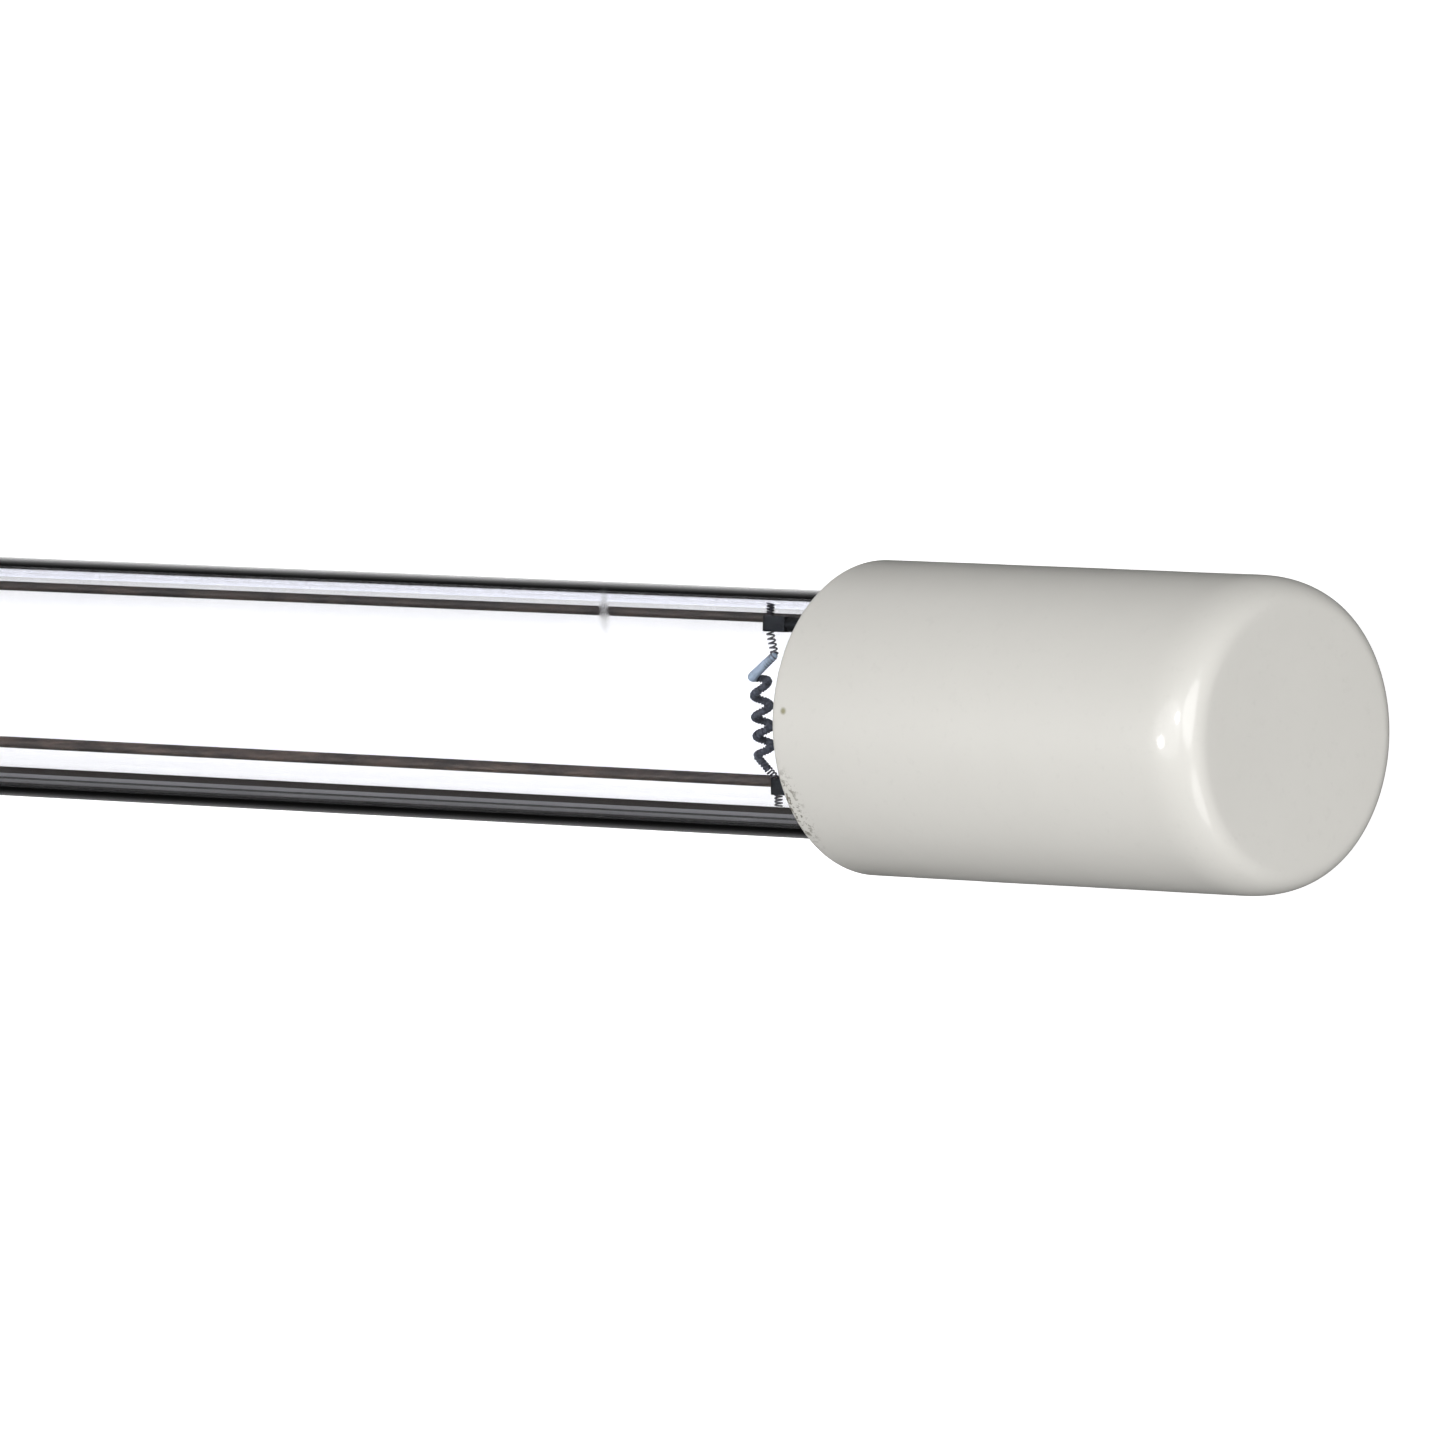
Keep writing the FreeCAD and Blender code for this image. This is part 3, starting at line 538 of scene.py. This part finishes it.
def quartz_surfaces(sizes):
    """Outside, bore and pumping stub of the sealed tube."""
    radius = sizes.radius / MM
    bore = radius - sizes.wall / MM
    x, half = tube_stations(sizes, pressed_profile(sizes))
    outside = flattened_tube(x, half, radius, sizes.seal_turn, sizes.around)
    dome = quarter(0, 90, DOME_STEPS)
    dome_profile = (sizes.dome_length / MM * np.sin(dome), bore * np.cos(dome))
    x_in, half_in = tube_stations(sizes, dome_profile)
    inside = flattened_tube(x_in, half_in, bore, sizes.seal_turn, sizes.around)
    root_x = x[0]
    tip_r = sizes.tip_radius / MM
    cap_arc = quarter(90, 0, TIP_STEPS)
    neck_x = root_x - sizes.tip_length / MM + tip_r
    stub_x = np.concatenate([neck_x - tip_r * np.sin(cap_arc), [root_x + tip_r * TIP_SUNK] * 2])
    stub_r = np.concatenate([tip_r * np.cos(cap_arc), [tip_r, 0.0]])
    stub = revolved_points(stub_x, stub_r[:, None], TIP_AROUND)
    return [(outside, grid_faces(*outside.shape[:2])),
            (inside, grid_faces(*inside.shape[:2])[:, ::-1]),
            (stub, grid_faces(*stub.shape[:2]))]


def revolved_points(x, radius, around):
    """Rings about the lamp's axis: (x, r cos, r sin), with r by ring or by ring and angle."""
    angle = np.linspace(0, 2 * math.pi, around, endpoint=False)
    ring = np.broadcast_to(radius, (len(x), around))
    return np.stack([np.broadcast_to(np.reshape(x, (-1, 1)), ring.shape),
                     ring * np.cos(angle), ring * np.sin(angle)], axis=-1)


def groove_radius(angle, sizes):
    """Radius of the bore by angle: the plain bore, or the far side of a wire's groove,
    c cos d + sqrt(g^2 - c^2 sin^2 d) at the angle d from that wire."""
    ring = sizes.wire_ring / MM
    radius = np.full_like(angle, sizes.bore_radius / MM)
    for side in (1, -1):
        away = angle - (side * sizes.wire_spread - math.pi / 2)
        inside = (sizes.groove_radius / MM) ** 2 - (ring * np.sin(away)) ** 2
        reach = ring * np.cos(away) + np.sqrt(np.maximum(inside, 0.0))
        radius = np.where((inside > 0) & (np.cos(away) > 0), np.maximum(radius, reach), radius)
    return radius


def cap_surface(sizes):
    """The cap as one closed skin: cavity floor, cavity wall with its grooves, mouth, rim,
    body, wide soft edge and end face. Each ring is (x, radius by angle). The soft edge is
    (a cos^k t, b sin^k t) with k a little under 1, which is fuller than an ellipse."""
    angle = np.linspace(0, 2 * math.pi, sizes.around, endpoint=False)
    grooved = groove_radius(angle, sizes)
    bore = sizes.bore_radius / MM
    corner = sizes.cavity_corner / MM
    rim = sizes.mouth_edge / MM
    floor_x = CAP_FACE - sizes.end_wall / MM
    edge_x = CAP_FACE - sizes.edge_axial / MM
    face_r = CAP_RADIUS - sizes.edge_radial / MM
    corner_arc = quarter(0, 90, CORNER_STEPS)
    rim_arc = quarter(180, 90, CORNER_STEPS)
    soft_arc = quarter(90, 0, EDGE_STEPS)
    body_x = np.linspace(CAP_MOUTH + rim, edge_x, BODY_STEPS)[1:-1]
    face_rings = np.linspace(face_r, 0.0, FACE_STEPS)[1:-1]
    rings = [
        (np.array([floor_x]), np.array([0.0])),
        (floor_x - corner + corner * np.cos(corner_arc),
         bore - corner + corner * np.sin(corner_arc)),
        (np.linspace(floor_x - corner, CAP_MOUTH, BORE_STEPS), grooved),
        (CAP_MOUTH + rim + rim * np.cos(rim_arc), CAP_RADIUS - rim + rim * np.sin(rim_arc)),
        (body_x, np.full(len(body_x), CAP_RADIUS)),
        (edge_x + sizes.edge_axial / MM * np.cos(soft_arc) ** EDGE_FULLNESS,
         face_r + sizes.edge_radial / MM * np.sin(soft_arc) ** EDGE_FULLNESS),
        (np.full(len(face_rings), CAP_FACE), face_rings),
        (np.array([CAP_FACE]), np.array([0.0])),
    ]
    x = np.concatenate([ring_x for ring_x, _ in rings])
    radius = np.concatenate([
        np.broadcast_to(r[None, :] if r is grooved else r[:, None], (len(ring_x), len(angle)))
        for ring_x, r in rings])
    return revolved_points(x, radius, sizes.around)


# Share of the height, times round the cap, radians for each millimetre along it, and start
GLAZE_WAVES = ((1.0, 2, 0.21, 0.0), (0.6, 3, -0.47, 1.1), (0.5, 5, 0.83, 2.3),
               (0.35, 9, -1.3, 0.0))
# Shares of the cap's radius at which the outer skin starts, and over which it grows full
SKIN_FROM = 0.93
SKIN_BLEND = 0.04


def uneven(points, height):
    """Moves an outer skin in along its radius by a slow sum of waves along and around."""
    x, y, z = points[..., 0], points[..., 1], points[..., 2]
    angle = np.arctan2(z, y)
    radius = np.hypot(y, z)
    wave = sum(part * np.sin(times * angle + along * x + start)
               for part, times, along, start in GLAZE_WAVES)
    most = sum(part for part, *_ in GLAZE_WAVES)
    outer = np.clip((radius - SKIN_FROM * CAP_RADIUS) / (SKIN_BLEND * CAP_RADIUS), 0.0, 1.0)
    moved = radius - height * outer * (wave + most) / (2 * most)
    scale = np.where(radius > 0, moved / np.maximum(radius, 1e-9), 1.0)
    return np.stack([x, y * scale, z * scale], axis=-1)


# The filaments

# Turns wound, and the share of the way down that they have reached
TURN_LEVELS = ((0.0, 0.0), (0.5, 0.05), (1.0, 0.242), (1.5, 0.355), (2.0, 0.507), (2.5, 0.61),
               (3.0, 0.748), (3.5, 0.865), (4.0, 1.0))
# Turns wound, and how far their middle has swayed towards the mouth, in millimetres
TURN_SWAY = ((0.0, -0.29), (1.0, -0.17), (2.0, -0.03), (3.0, 0.03), (4.0, 0.07))
# Millimetres along the strand, and the share of the fine coil's pitch there
COIL_SPACING = ((0.0, 0.85), (1.5, 0.9), (1.8, 1.45), (2.9, 1.3), (3.3, 1.0))
TURN_POINTS = 96
LEG_IN_HOOK = 0.1
LEG_LEAN = 0.42
LEG_OVER_HOOK = 0.15
LEG_DEEP_IN_HOOK = 0.4
EASE_STEP = 0.02
EASE_REACH = 0.26
LEG_COAT_OVER_KNEE = 0.1
COAT_UNDER_TOP = 0.03
COAT_UNDER_TURNS = 0.85
COIL_POINTS = 14
WIRE_AROUND = 6
COAT_AROUND = 16
COAT_EVERY = 4
COAT_END_OVERLAP = 26
LUMP_STEP = 0.08
TURN_COAT_LUMP = 0.065
LEG_COAT_LUMP = 0.015
TURN_COAT_SEED = 7
LEG_COAT_SEED = 8
# The strand never runs along this direction
LEAN = np.array([0.0, 0.0, 1.0])


def filament_line(sizes):
    """Centre line of a filament in its own plane: tail, upper leg out to its knee, large
    turns (sway - r cos, level, -r sin) with a slightly uneven level, lower leg and tail. The
    corners are eased by averaging. Also gives the shares at which the knee, the turns and
    the lower leg start."""
    half_hook = sizes.hook_height / MM / 2
    upper_edge = sizes.upper_across / MM - half_hook
    lower_edge = half_hook - sizes.lower_across / MM
    coil_top = upper_edge - sizes.upper_leg / MM
    coil_bottom = lower_edge + sizes.lower_leg / MM
    radius = sizes.turn_radius / MM
    stagger = sizes.stagger / MM
    tail_reach = (sizes.hook_height + sizes.tail) / MM
    knee_level = upper_edge - sizes.knee_level / MM
    turned = np.linspace(0, sizes.turns, TURN_POINTS * sizes.turns + 1)
    phase = sizes.turn_start + 2 * math.pi * turned
    sway = np.interp(turned, *np.transpose(TURN_SWAY)) - sizes.aside / MM
    level = coil_top + (coil_bottom - coil_top) * np.interp(turned, *np.transpose(TURN_LEVELS))
    turns = np.stack([sway - radius * np.cos(phase), level, -radius * np.sin(phase)], axis=-1)
    upper = np.array([[0.0, upper_edge + tail_reach, 0.0],
                      [0.0, upper_edge - LEG_IN_HOOK, 0.0],
                      [sizes.knee / MM, knee_level, 0.0]])
    lower = np.array([[LEG_LEAN * stagger, lower_edge + LEG_OVER_HOOK, 0.0],
                      [stagger, lower_edge - LEG_DEEP_IN_HOOK, 0.0],
                      [stagger, lower_edge - tail_reach, 0.0]])
    line = eased(np.concatenate([upper, turns, lower]), EASE_STEP, EASE_REACH)
    marks = (knee_level + LEG_COAT_OVER_KNEE, coil_top - COAT_UNDER_TOP,
             coil_bottom - COAT_UNDER_TURNS)
    return line, [np.argmax(line[:, 1] < mark) / len(line) for mark in marks]


def resampled(line, step):
    """The same line with its points evenly spaced along it."""
    run = travelled(line)
    places = np.linspace(0.0, run[-1], int(run[-1] / step) + 1)
    return np.stack([np.interp(places, run, line[:, axis]) for axis in range(3)], axis=-1)


def eased(line, step, reach):
    """A line whose points are the average of the line over a short reach."""
    even = resampled(line, step)
    half = int(reach / step)
    ends_kept = np.concatenate([2 * even[0] - even[half:0:-1], even,
                                2 * even[-1] - even[-2:-half - 2:-1]])
    weight = np.hanning(2 * half + 3)[1:-1]
    weight /= weight.sum()
    return np.stack([np.convolve(ends_kept[:, axis], weight, mode="valid")
                     for axis in range(3)], axis=-1)


def travelled(line):
    """Length run along a line up to each of its points."""
    steps = np.linalg.norm(np.diff(line, axis=0), axis=1)
    return np.concatenate([[0.0], np.cumsum(steps)])


def cross_directions(line):
    """Two directions square to the line at each point, the first square to LEAN too."""
    along = np.gradient(line, axis=0)
    along /= np.linalg.norm(along, axis=1, keepdims=True)
    side = np.cross(along, LEAN)
    side /= np.linalg.norm(side, axis=1, keepdims=True)
    return side, np.cross(side, along)


def swept(line, radius, around):
    """A round tube along a line: centre + r (cos side + sin other), closed at both ends."""
    side, other = cross_directions(line)
    angle = np.linspace(0, 2 * math.pi, around, endpoint=False)
    radius = np.broadcast_to(radius, (len(line), around))
    body = (line[:, None, :] + radius[..., None] * (np.cos(angle)[None, :, None] * side[:, None, :]
            + np.sin(angle)[None, :, None] * other[:, None, :]))
    first = np.broadcast_to(line[0], (1, around, 3))
    last = np.broadcast_to(line[-1], (1, around, 3))
    points = np.concatenate([first, body, last])
    return points, grid_faces(len(points), around)[:, ::-1]


def fine_coil(line, sizes):
    """Centre line of the fine wire: a helix round the strand's line, which is drawn out a
    little between the upper hook and the knee."""
    side, other = cross_directions(line)
    run = travelled(line)
    pitch = sizes.coil_pitch / MM * np.interp(run, *np.transpose(COIL_SPACING))
    phase = np.cumsum(2 * math.pi * np.gradient(run) / pitch)
    radius = (sizes.coil_radius - sizes.wire_radius) / MM
    return line + radius * (np.cos(phase)[:, None] * side + np.sin(phase)[:, None] * other)


def at_filament(points, sizes, tube, end):
    """Points of the filament's own plane, turned with the seals and placed at one end."""
    x = points[..., 0] - sizes.before_mouth / MM
    placed = turned_points(x, points[..., 1], points[..., 2], tube.seal_turn)
    if end == "cap":
        placed[..., 0] += CAP_MOUTH
    else:
        placed[..., 0] = BASE_MOUTH - placed[..., 0]
    return placed


def coated(line, radii, lump, seed):
    """A lumpy skin on a part of the strand, with rounded ends: a radius that runs from the
    first to the last of two, plus a random wave, and falls to nothing at each end."""
    run = travelled(line)
    rng = np.random.default_rng(seed)
    knots = np.arange(0.0, run[-1] + 2.5 * LUMP_STEP, LUMP_STEP)
    waves = rng.uniform(-1.0, 1.0, (len(knots), COAT_AROUND))
    waves = (waves + np.roll(waves, 1, axis=1) + np.roll(waves, 2, axis=1)) / 2
    skin = np.stack([np.interp(run, knots, wave) for wave in waves.T], axis=1)
    radius = np.interp(run, (0.0, run[-1]), radii)[:, None]
    to_end = np.minimum(run, run[-1] - run)[:, None]
    inward = np.clip(1 - to_end / radius, 0.0, 1.0)
    return swept(line, (radius + lump * skin) * np.sqrt(1 - inward ** 2), COAT_AROUND)


def make_filament(end, settings):
    """A filament's bare coil at both legs, its coated turns with the coil showing as
    ridges, and the thick coating on its upper leg. The one at the base is a mirror image,
    so its faces are wound the other way round."""
    sizes, tube = settings.filament, settings.tube
    line, shares = filament_line(sizes)
    line = resampled(line, sizes.coil_pitch / MM / COIL_POINTS)
    knee, turns, leg = [int(share * len(line)) for share in shares]
    wire = fine_coil(line, sizes)
    thin = sizes.wire_radius / MM
    turn_coat = [sizes.coat_radius / MM] * 2
    leg_coat = (sizes.knee_coat_radius / MM, sizes.leg_coat_radius / MM)
    parts = {
        "filament_coil_": (
            [swept(part, thin, WIRE_AROUND) for part in (wire[:turns], wire[leg:])],
            "coil_wire"),
        "filament_coat_": (
            [coated(line[turns:leg:COAT_EVERY], turn_coat, TURN_COAT_LUMP, TURN_COAT_SEED),
             swept(wire[turns:leg], thin, WIRE_AROUND)],
            "filament_coating"),
        "filament_leg_coat_": (
            [coated(line[knee:turns + COAT_END_OVERLAP:COAT_EVERY], leg_coat, LEG_COAT_LUMP,
                    LEG_COAT_SEED)],
            "leg_coating"),
    }
    wound = slice(None) if end == "cap" else slice(None, None, -1)
    return [mesh_piece(name + end, [(at_filament(points, sizes, tube, end), faces[:, wound])
                                    for points, faces in surfaces], finish(tone))
            for name, (surfaces, tone) in parts.items()]


# Operators

def lamp(context):
    """All the lamp's settings."""
    return context.scene.germicidal_lamp


class LAMP_OT_finishes(bpy.types.Operator):
    """Makes every material of the lamp"""
    bl_idname = "lamp.finishes"
    bl_label = "Finishes"

    def execute(self, context):
        tones = lamp(context).finishes
        quartz_material()
        glaze_material("glazed_cap", tuple(tones.glaze), CAP_MARKS)
        glaze_material("glazed_base", tuple(tones.glaze))
        grit_material("capping_cement", tuple(tones.cement))
        for name, setting, *look in STAINED_FINISHES:
            stained_material(name, tuple(getattr(tones, setting)), *look)
        return {"FINISHED"}


class LAMP_OT_quartz_tube(bpy.types.Operator):
    """Makes the clear tube with its pressed seals"""
    bl_idname = "lamp.quartz_tube"
    bl_label = "Quartz tube"

    def execute(self, context):
        tube = mesh_piece("quartz_tube", quartz_surfaces(lamp(context).tube),
                          finish("clear_quartz"))
        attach(tube, BODY)
        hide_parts("quartz_envelope")
        return {"FINISHED"}


class LAMP_OT_end_cap(bpy.types.Operator):
    """Makes the plain glazed cap"""
    bl_idname = "lamp.end_cap"
    bl_label = "End cap"

    def execute(self, context):
        sizes = lamp(context).ceramic
        points = uneven(cap_surface(sizes), sizes.lump / MM)
        cap = mesh_piece("glazed_end_cap", [(points, grid_faces(*points.shape[:2]))],
                         finish("glazed_cap"))
        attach(cap, BODY)
        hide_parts("end_cap")
        return {"FINISHED"}


class LAMP_OT_filaments(bpy.types.Operator):
    """Winds both filaments as coiled coils"""
    bl_idname = "lamp.filaments"
    bl_label = "Filaments"

    def execute(self, context):
        for end in ("cap", "base"):
            pieces = make_filament(end, lamp(context))
            for piece in pieces:
                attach(piece, BODY)
            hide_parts("filament_" + end)
        return {"FINISHED"}


class LAMP_OT_solid_parts(bpy.types.Operator):
    """Gives the solids that stay as they are their finishes"""
    bl_idname = "lamp.solid_parts"
    bl_label = "Wires, leads, pins and base"

    def execute(self, context):
        tones = {"pin_base": "glazed_base", "capping_cement_cap": "capping_cement",
                 "capping_cement_base": "capping_cement", "mercury_bead": "mercury"}
        for side in PIECE_SIDES:
            tones["return_wire_" + side] = "return_wire"
            tones["splice_sleeve_" + side] = "splice_sleeve"
            tones["return_pin_" + side] = "contact_pin"
            tones["filament_pin_" + side] = "contact_pin"
            for end in ("cap", "base"):
                tones["inner_lead_" + end + "_" + side] = "lead_metal"
                tones["outer_lead_" + end + "_" + side] = "lead_metal"
                tones["sealing_foil_" + end + "_" + side] = "sealing_foil"
        for name, tone in tones.items():
            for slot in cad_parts[name].material_slots:
                slot.material = finish(tone)
        return {"FINISHED"}


# Stage

def camera_axes(stage):
    """The lamp's own axes as the camera sees them, x to the right, y down and z away: the
    lamp's axis from its yaw and pitch, and the other two square to it and rolled."""
    axis = np.array([math.cos(stage.pitch) * math.cos(stage.yaw), math.sin(stage.pitch),
                     -math.cos(stage.pitch) * math.sin(stage.yaw)])
    behind = np.array([0.0, 0.0, 1.0]) - axis * axis[2]
    behind /= np.linalg.norm(behind)
    across = np.cross(axis, behind)
    upward = -behind
    turned_up = math.cos(stage.roll) * upward - math.sin(stage.roll) * across
    turned_across = math.cos(stage.roll) * across + math.sin(stage.roll) * upward
    return np.column_stack([axis, turned_across, turned_up])


def place_camera(stage):
    """A camera that sees the cap's face where the stage's sizes say."""
    seen = camera_axes(stage)
    face = np.array([stage.right, stage.below, stage.away])
    origin = face - seen @ np.array([CAP_FACE * MM, 0.0, 0.0])
    data = bpy.data.cameras.new("Camera")
    data.lens = stage.lens
    data.clip_start = 0.01
    data.clip_end = 10.0
    turn_back = seen.T @ np.diag([1.0, -1.0, -1.0])
    bpy.context.scene.camera = new_object("Camera", data, turn_back, -seen.T @ origin)


def stage_plane(name, low, high, height, material):
    """A flat sheet of the stage, from its low corner to its high one, in millimetres."""
    corners = [(low[0], low[1], height), (high[0], low[1], height),
               (high[0], high[1], height), (low[0], high[1], height)]
    mesh = bpy.data.meshes.new(name)
    mesh.from_pydata([[value * MM for value in corner] for corner in corners], [], [(0, 1, 2, 3)])
    mesh.materials.append(material)
    plane = new_object(name, mesh)
    return plane


def seen_directly(tree):
    """1 for rays from the camera and for those that glass lets through, before any gloss
    has sent them on, and else 0."""
    path = put(tree, "ShaderNodeLightPath")
    clear = calculated(tree, "MAXIMUM", path.outputs["Is Camera Ray"],
                       path.outputs["Is Transmission Ray"])
    no_gloss = calculated(tree, "LESS_THAN", path.outputs["Glossy Depth"], 0.5)
    return calculated(tree, "MULTIPLY", clear, no_gloss)


def seen_in_gloss(tree):
    """1 for rays that gloss has sent on."""
    path = put(tree, "ShaderNodeLightPath")
    return calculated(tree, "MINIMUM", path.outputs["Glossy Depth"], 1.0)


FLOOR_GLOW = 0.85


def floor_material():
    """A pale floor that looks white where nothing shades it, and dimmer in gloss."""
    tree, shader = new_material("stage_floor")
    feed(tree, shader, {
        "Base Color": mixed_colour(tree, seen_in_gloss(tree), (0.5, 0.5, 0.5), (0.1, 0.1, 0.1)),
        "Roughness": 1.0,
        "Specular IOR Level": 0.0,
        "Emission Color": (1.0, 1.0, 1.0, 1.0),
        "Emission Strength": calculated(tree, "MULTIPLY", seen_directly(tree), FLOOR_GLOW)})
    return finish("stage_floor")


# Painted shade and painted highlights that the glass shows at its edges, and painted reflections in
# its gloss: each band is where it starts, in millimetres from the lamp's axis, and its colour
BLACK = (0.001, 0.001, 0.001)
CARD_STRENGTH = 3.0
UPPER_PAINTED_REFRACTION = ((6.6, (0.64, 0.65, 0.70)), (7.6, (0.84, 0.85, 0.92)), (8.7, BLACK),
               (15.0, (0.84, 0.85, 0.92)))
UPPER_PAINTED_REFLECTION = ((8.0, (0.27, 0.27, 0.27)), (9.5, (0.05, 0.05, 0.05)), (12.0, BLACK))
LOWER_PAINTED_REFRACTION = ((8.75, (0.009, 0.007, 0.006)), (9.65, (0.10, 0.10, 0.104)),
               (10.35, (0.003, 0.003, 0.003)), (10.8, (0.085, 0.085, 0.088)), (12.0, BLACK))
LOWER_PAINTED_REFLECTION = ((12.0, (0.06, 0.06, 0.06)), (13.6, (0.02, 0.02, 0.02)),
               (15.5, (0.003, 0.003, 0.003)), (18.5, BLACK))
RAMP_PAST_BANDS = 1.25
CARD_EDGE = 30.0
CARD_PAST_BASE = 18.0
CARD_SHORT_OF_CAP = 10.0
CARD_LIFT = 0.05
FLOOR_DROP = 0.01
FLOOR_LOW = (-2000.0, -2000.0)
FLOOR_HIGH = (2500.0, 2000.0)


def band_ramp(tree, place, bands, blend):
    """Colours by the distance from the lamp's axis, each from its own distance on."""
    reach = bands[-1][0] * RAMP_PAST_BANDS
    ramp = put(tree, "ShaderNodeValToRGB", {
        0: calculated(tree, "MULTIPLY", place, 1 / (reach * MM))})
    stops = ramp.color_ramp
    stops.interpolation = blend
    stops.elements.remove(stops.elements[-1])
    first, *others = bands
    stops.elements[0].position = first[0] / reach
    stops.elements[0].color = (*first[1], 1.0)
    for distance, tone in others:
        stops.elements.new(distance / reach).color = (*tone, 1.0)
    return ramp.outputs[0]


def painted_edge_material(name, bands, gloss, side):
    """A glowing card with bands along the lamp that paint the glass's edges: the painted shade and
    highlights that glass shows, and the painted reflections that gloss shows.
    """
    tree, shader = new_material(name)
    tree.nodes.remove(shader)
    place = put(tree, "ShaderNodeSeparateXYZ", {0: put(tree, "ShaderNodeTexCoord").outputs["Object"]})
    away = calculated(tree, "MULTIPLY", place.outputs["Y"], side)
    tone = mixed_colour(tree, seen_in_gloss(tree),
                        band_ramp(tree, away, bands, "CONSTANT"),
                        band_ramp(tree, away, gloss, "LINEAR"))
    light = put(tree, "ShaderNodeEmission", {"Color": tone, "Strength": CARD_STRENGTH})
    feed(tree, tree.nodes["Material Output"], {"Surface": light.outputs[0]})
    return finish(name)


def painted_edge_card(name, bands, gloss, side, height):
    """A card on the floor beside the tube, seen only in and through the glass, where it paints shade
    and pale bands.
    """
    edges = sorted((side * bands[0][0], side * CARD_EDGE))
    card = stage_plane(name, (BASE_MOUTH - CARD_PAST_BASE, edges[0]),
                       (CAP_MOUTH - CARD_SHORT_OF_CAP, edges[1]), height,
                       painted_edge_material(name, bands, gloss, side))
    card.visible_camera = False
    card.visible_diffuse = False
    card.visible_shadow = False


def soft_lamp(name, direction, distance, size, power, aim):
    """A round soft lamp at a distance along a direction from its aim, facing back."""
    data = bpy.data.lights.new(name, "AREA")
    data.shape = "DISK"
    data.size = size
    data.energy = power
    back = np.array(direction) / np.linalg.norm(direction)
    side = np.cross((0.0, 1.0, 0.0), back)
    side /= np.linalg.norm(side)
    axes = np.column_stack([side, np.cross(back, side), back])
    return new_object(name, data, axes, np.array(aim) + back * distance)


# Name, direction from its aim, distance, size, power, aim, and whether it lights the
# surface or shows in its gloss alone
LAMPS = (
    ("key", (0.52, 0.34, 0.82), 0.9, 0.7, 4.4, (0.24, 0.0, 0.0), True),
    ("fill", (0.60, -0.52, 0.61), 0.22, 0.14, 0.12, (0.285, 0.0, 0.0), True),
    ("window", (-0.25, 0.17, 0.95), 0.5, 0.34, 0.4, (0.2850, 0.0015, 0.0092), False),
    ("spark_right", (-0.06, 0.315, 0.947), 0.5, 0.05, 0.5, (0.2859, 0.0023, 0.0088), False),
    ("spark_left", (-0.438, 0.029, 0.899), 0.5, 0.05, 0.3, (0.2847, 0.0009, 0.0094), False),
)


def make_world():
    """Even soft light all round, a white background, and a dim room for gloss to show."""
    world = bpy.data.worlds.new("World")
    bpy.context.scene.world = world
    world.use_nodes = True
    tree = world.node_tree
    room = put(tree, "ShaderNodeMapRange", {
        "Value": seen_in_gloss(tree), "To Min": 0.46, "To Max": 0.08})
    strength = put(tree, "ShaderNodeMix", {
        0: seen_directly(tree), 2: room.outputs[0], 3: 1.0}, data_type="FLOAT")
    feed(tree, tree.nodes["Background"], {
        "Color": (1.0, 1.0, 1.0, 1.0), "Strength": strength.outputs[0]})


class LAMP_OT_stage(bpy.types.Operator):
    """Sets up the floor, the cards beside the glass that paint shade and highlights into it, the
    lights and the camera
    """
    bl_idname = "lamp.stage"
    bl_label = "Stage, lights and camera"

    def execute(self, context):
        stage = lamp(context).stage
        place_camera(stage)
        height = stage.floor_height / MM
        stage_plane("floor", FLOOR_LOW, FLOOR_HIGH, height - FLOOR_DROP, floor_material())
        # The two cards paint the dark edges and pale bands that the glass shows, and its darker
        # reflections
        painted_edge_card("upper_card", UPPER_PAINTED_REFRACTION, UPPER_PAINTED_REFLECTION, 1, height + CARD_LIFT)
        painted_edge_card("lower_card", LOWER_PAINTED_REFRACTION, LOWER_PAINTED_REFLECTION, -1, height + CARD_LIFT)
        make_world()
        for *facts, lights_surface in LAMPS:
            soft_lamp(*facts).visible_diffuse = lights_surface
        context.scene.view_settings.view_transform = "Standard"
        return {"FINISHED"}


# Sidebar

OPERATORS = (LAMP_OT_stage, LAMP_OT_finishes, LAMP_OT_quartz_tube, LAMP_OT_end_cap,
             LAMP_OT_filaments, LAMP_OT_solid_parts)


class LAMP_PT_parts(bpy.types.Panel):
    """Lists the lamp's sizes, finishes and pieces"""
    bl_idname = "LAMP_PT_parts"
    bl_label = "Germicidal lamp"
    bl_space_type = "VIEW_3D"
    bl_region_type = "UI"
    bl_category = "Lamp tube"

    def draw(self, context):
        settings = lamp(context)
        for group in (settings.tube, settings.ceramic, settings.filament,
                      settings.finishes, settings.stage):
            box = self.layout.box()
            for name in group.bl_rna.properties.keys():
                if name not in ("rna_type", "name"):
                    box.prop(group, name)
        for operator in OPERATORS:
            self.layout.operator(operator.bl_idname)


class LampSettings(bpy.types.PropertyGroup):
    tube: bpy.props.PointerProperty(type=LampTubeSizes)
    ceramic: bpy.props.PointerProperty(type=LampCeramicSizes)
    filament: bpy.props.PointerProperty(type=LampFilamentSizes)
    finishes: bpy.props.PointerProperty(type=LampFinishes)
    stage: bpy.props.PointerProperty(type=LampStageSizes)


CLASSES = (LampTubeSizes, LampCeramicSizes, LampFilamentSizes, LampFinishes, LampStageSizes,
           LampSettings, *OPERATORS, LAMP_PT_parts)


def register():
    for cls in CLASSES:
        bpy.utils.register_class(cls)
    bpy.types.Scene.germicidal_lamp = bpy.props.PointerProperty(type=LampSettings)


def unregister():
    del bpy.types.Scene.germicidal_lamp
    for cls in reversed(CLASSES):
        bpy.utils.unregister_class(cls)


def main():
    register()
    bpy.ops.lamp.stage()
    bpy.ops.lamp.finishes()
    bpy.ops.lamp.quartz_tube()
    bpy.ops.lamp.end_cap()
    bpy.ops.lamp.filaments()
    bpy.ops.lamp.solid_parts()


if __name__ == "__main__":
    main()
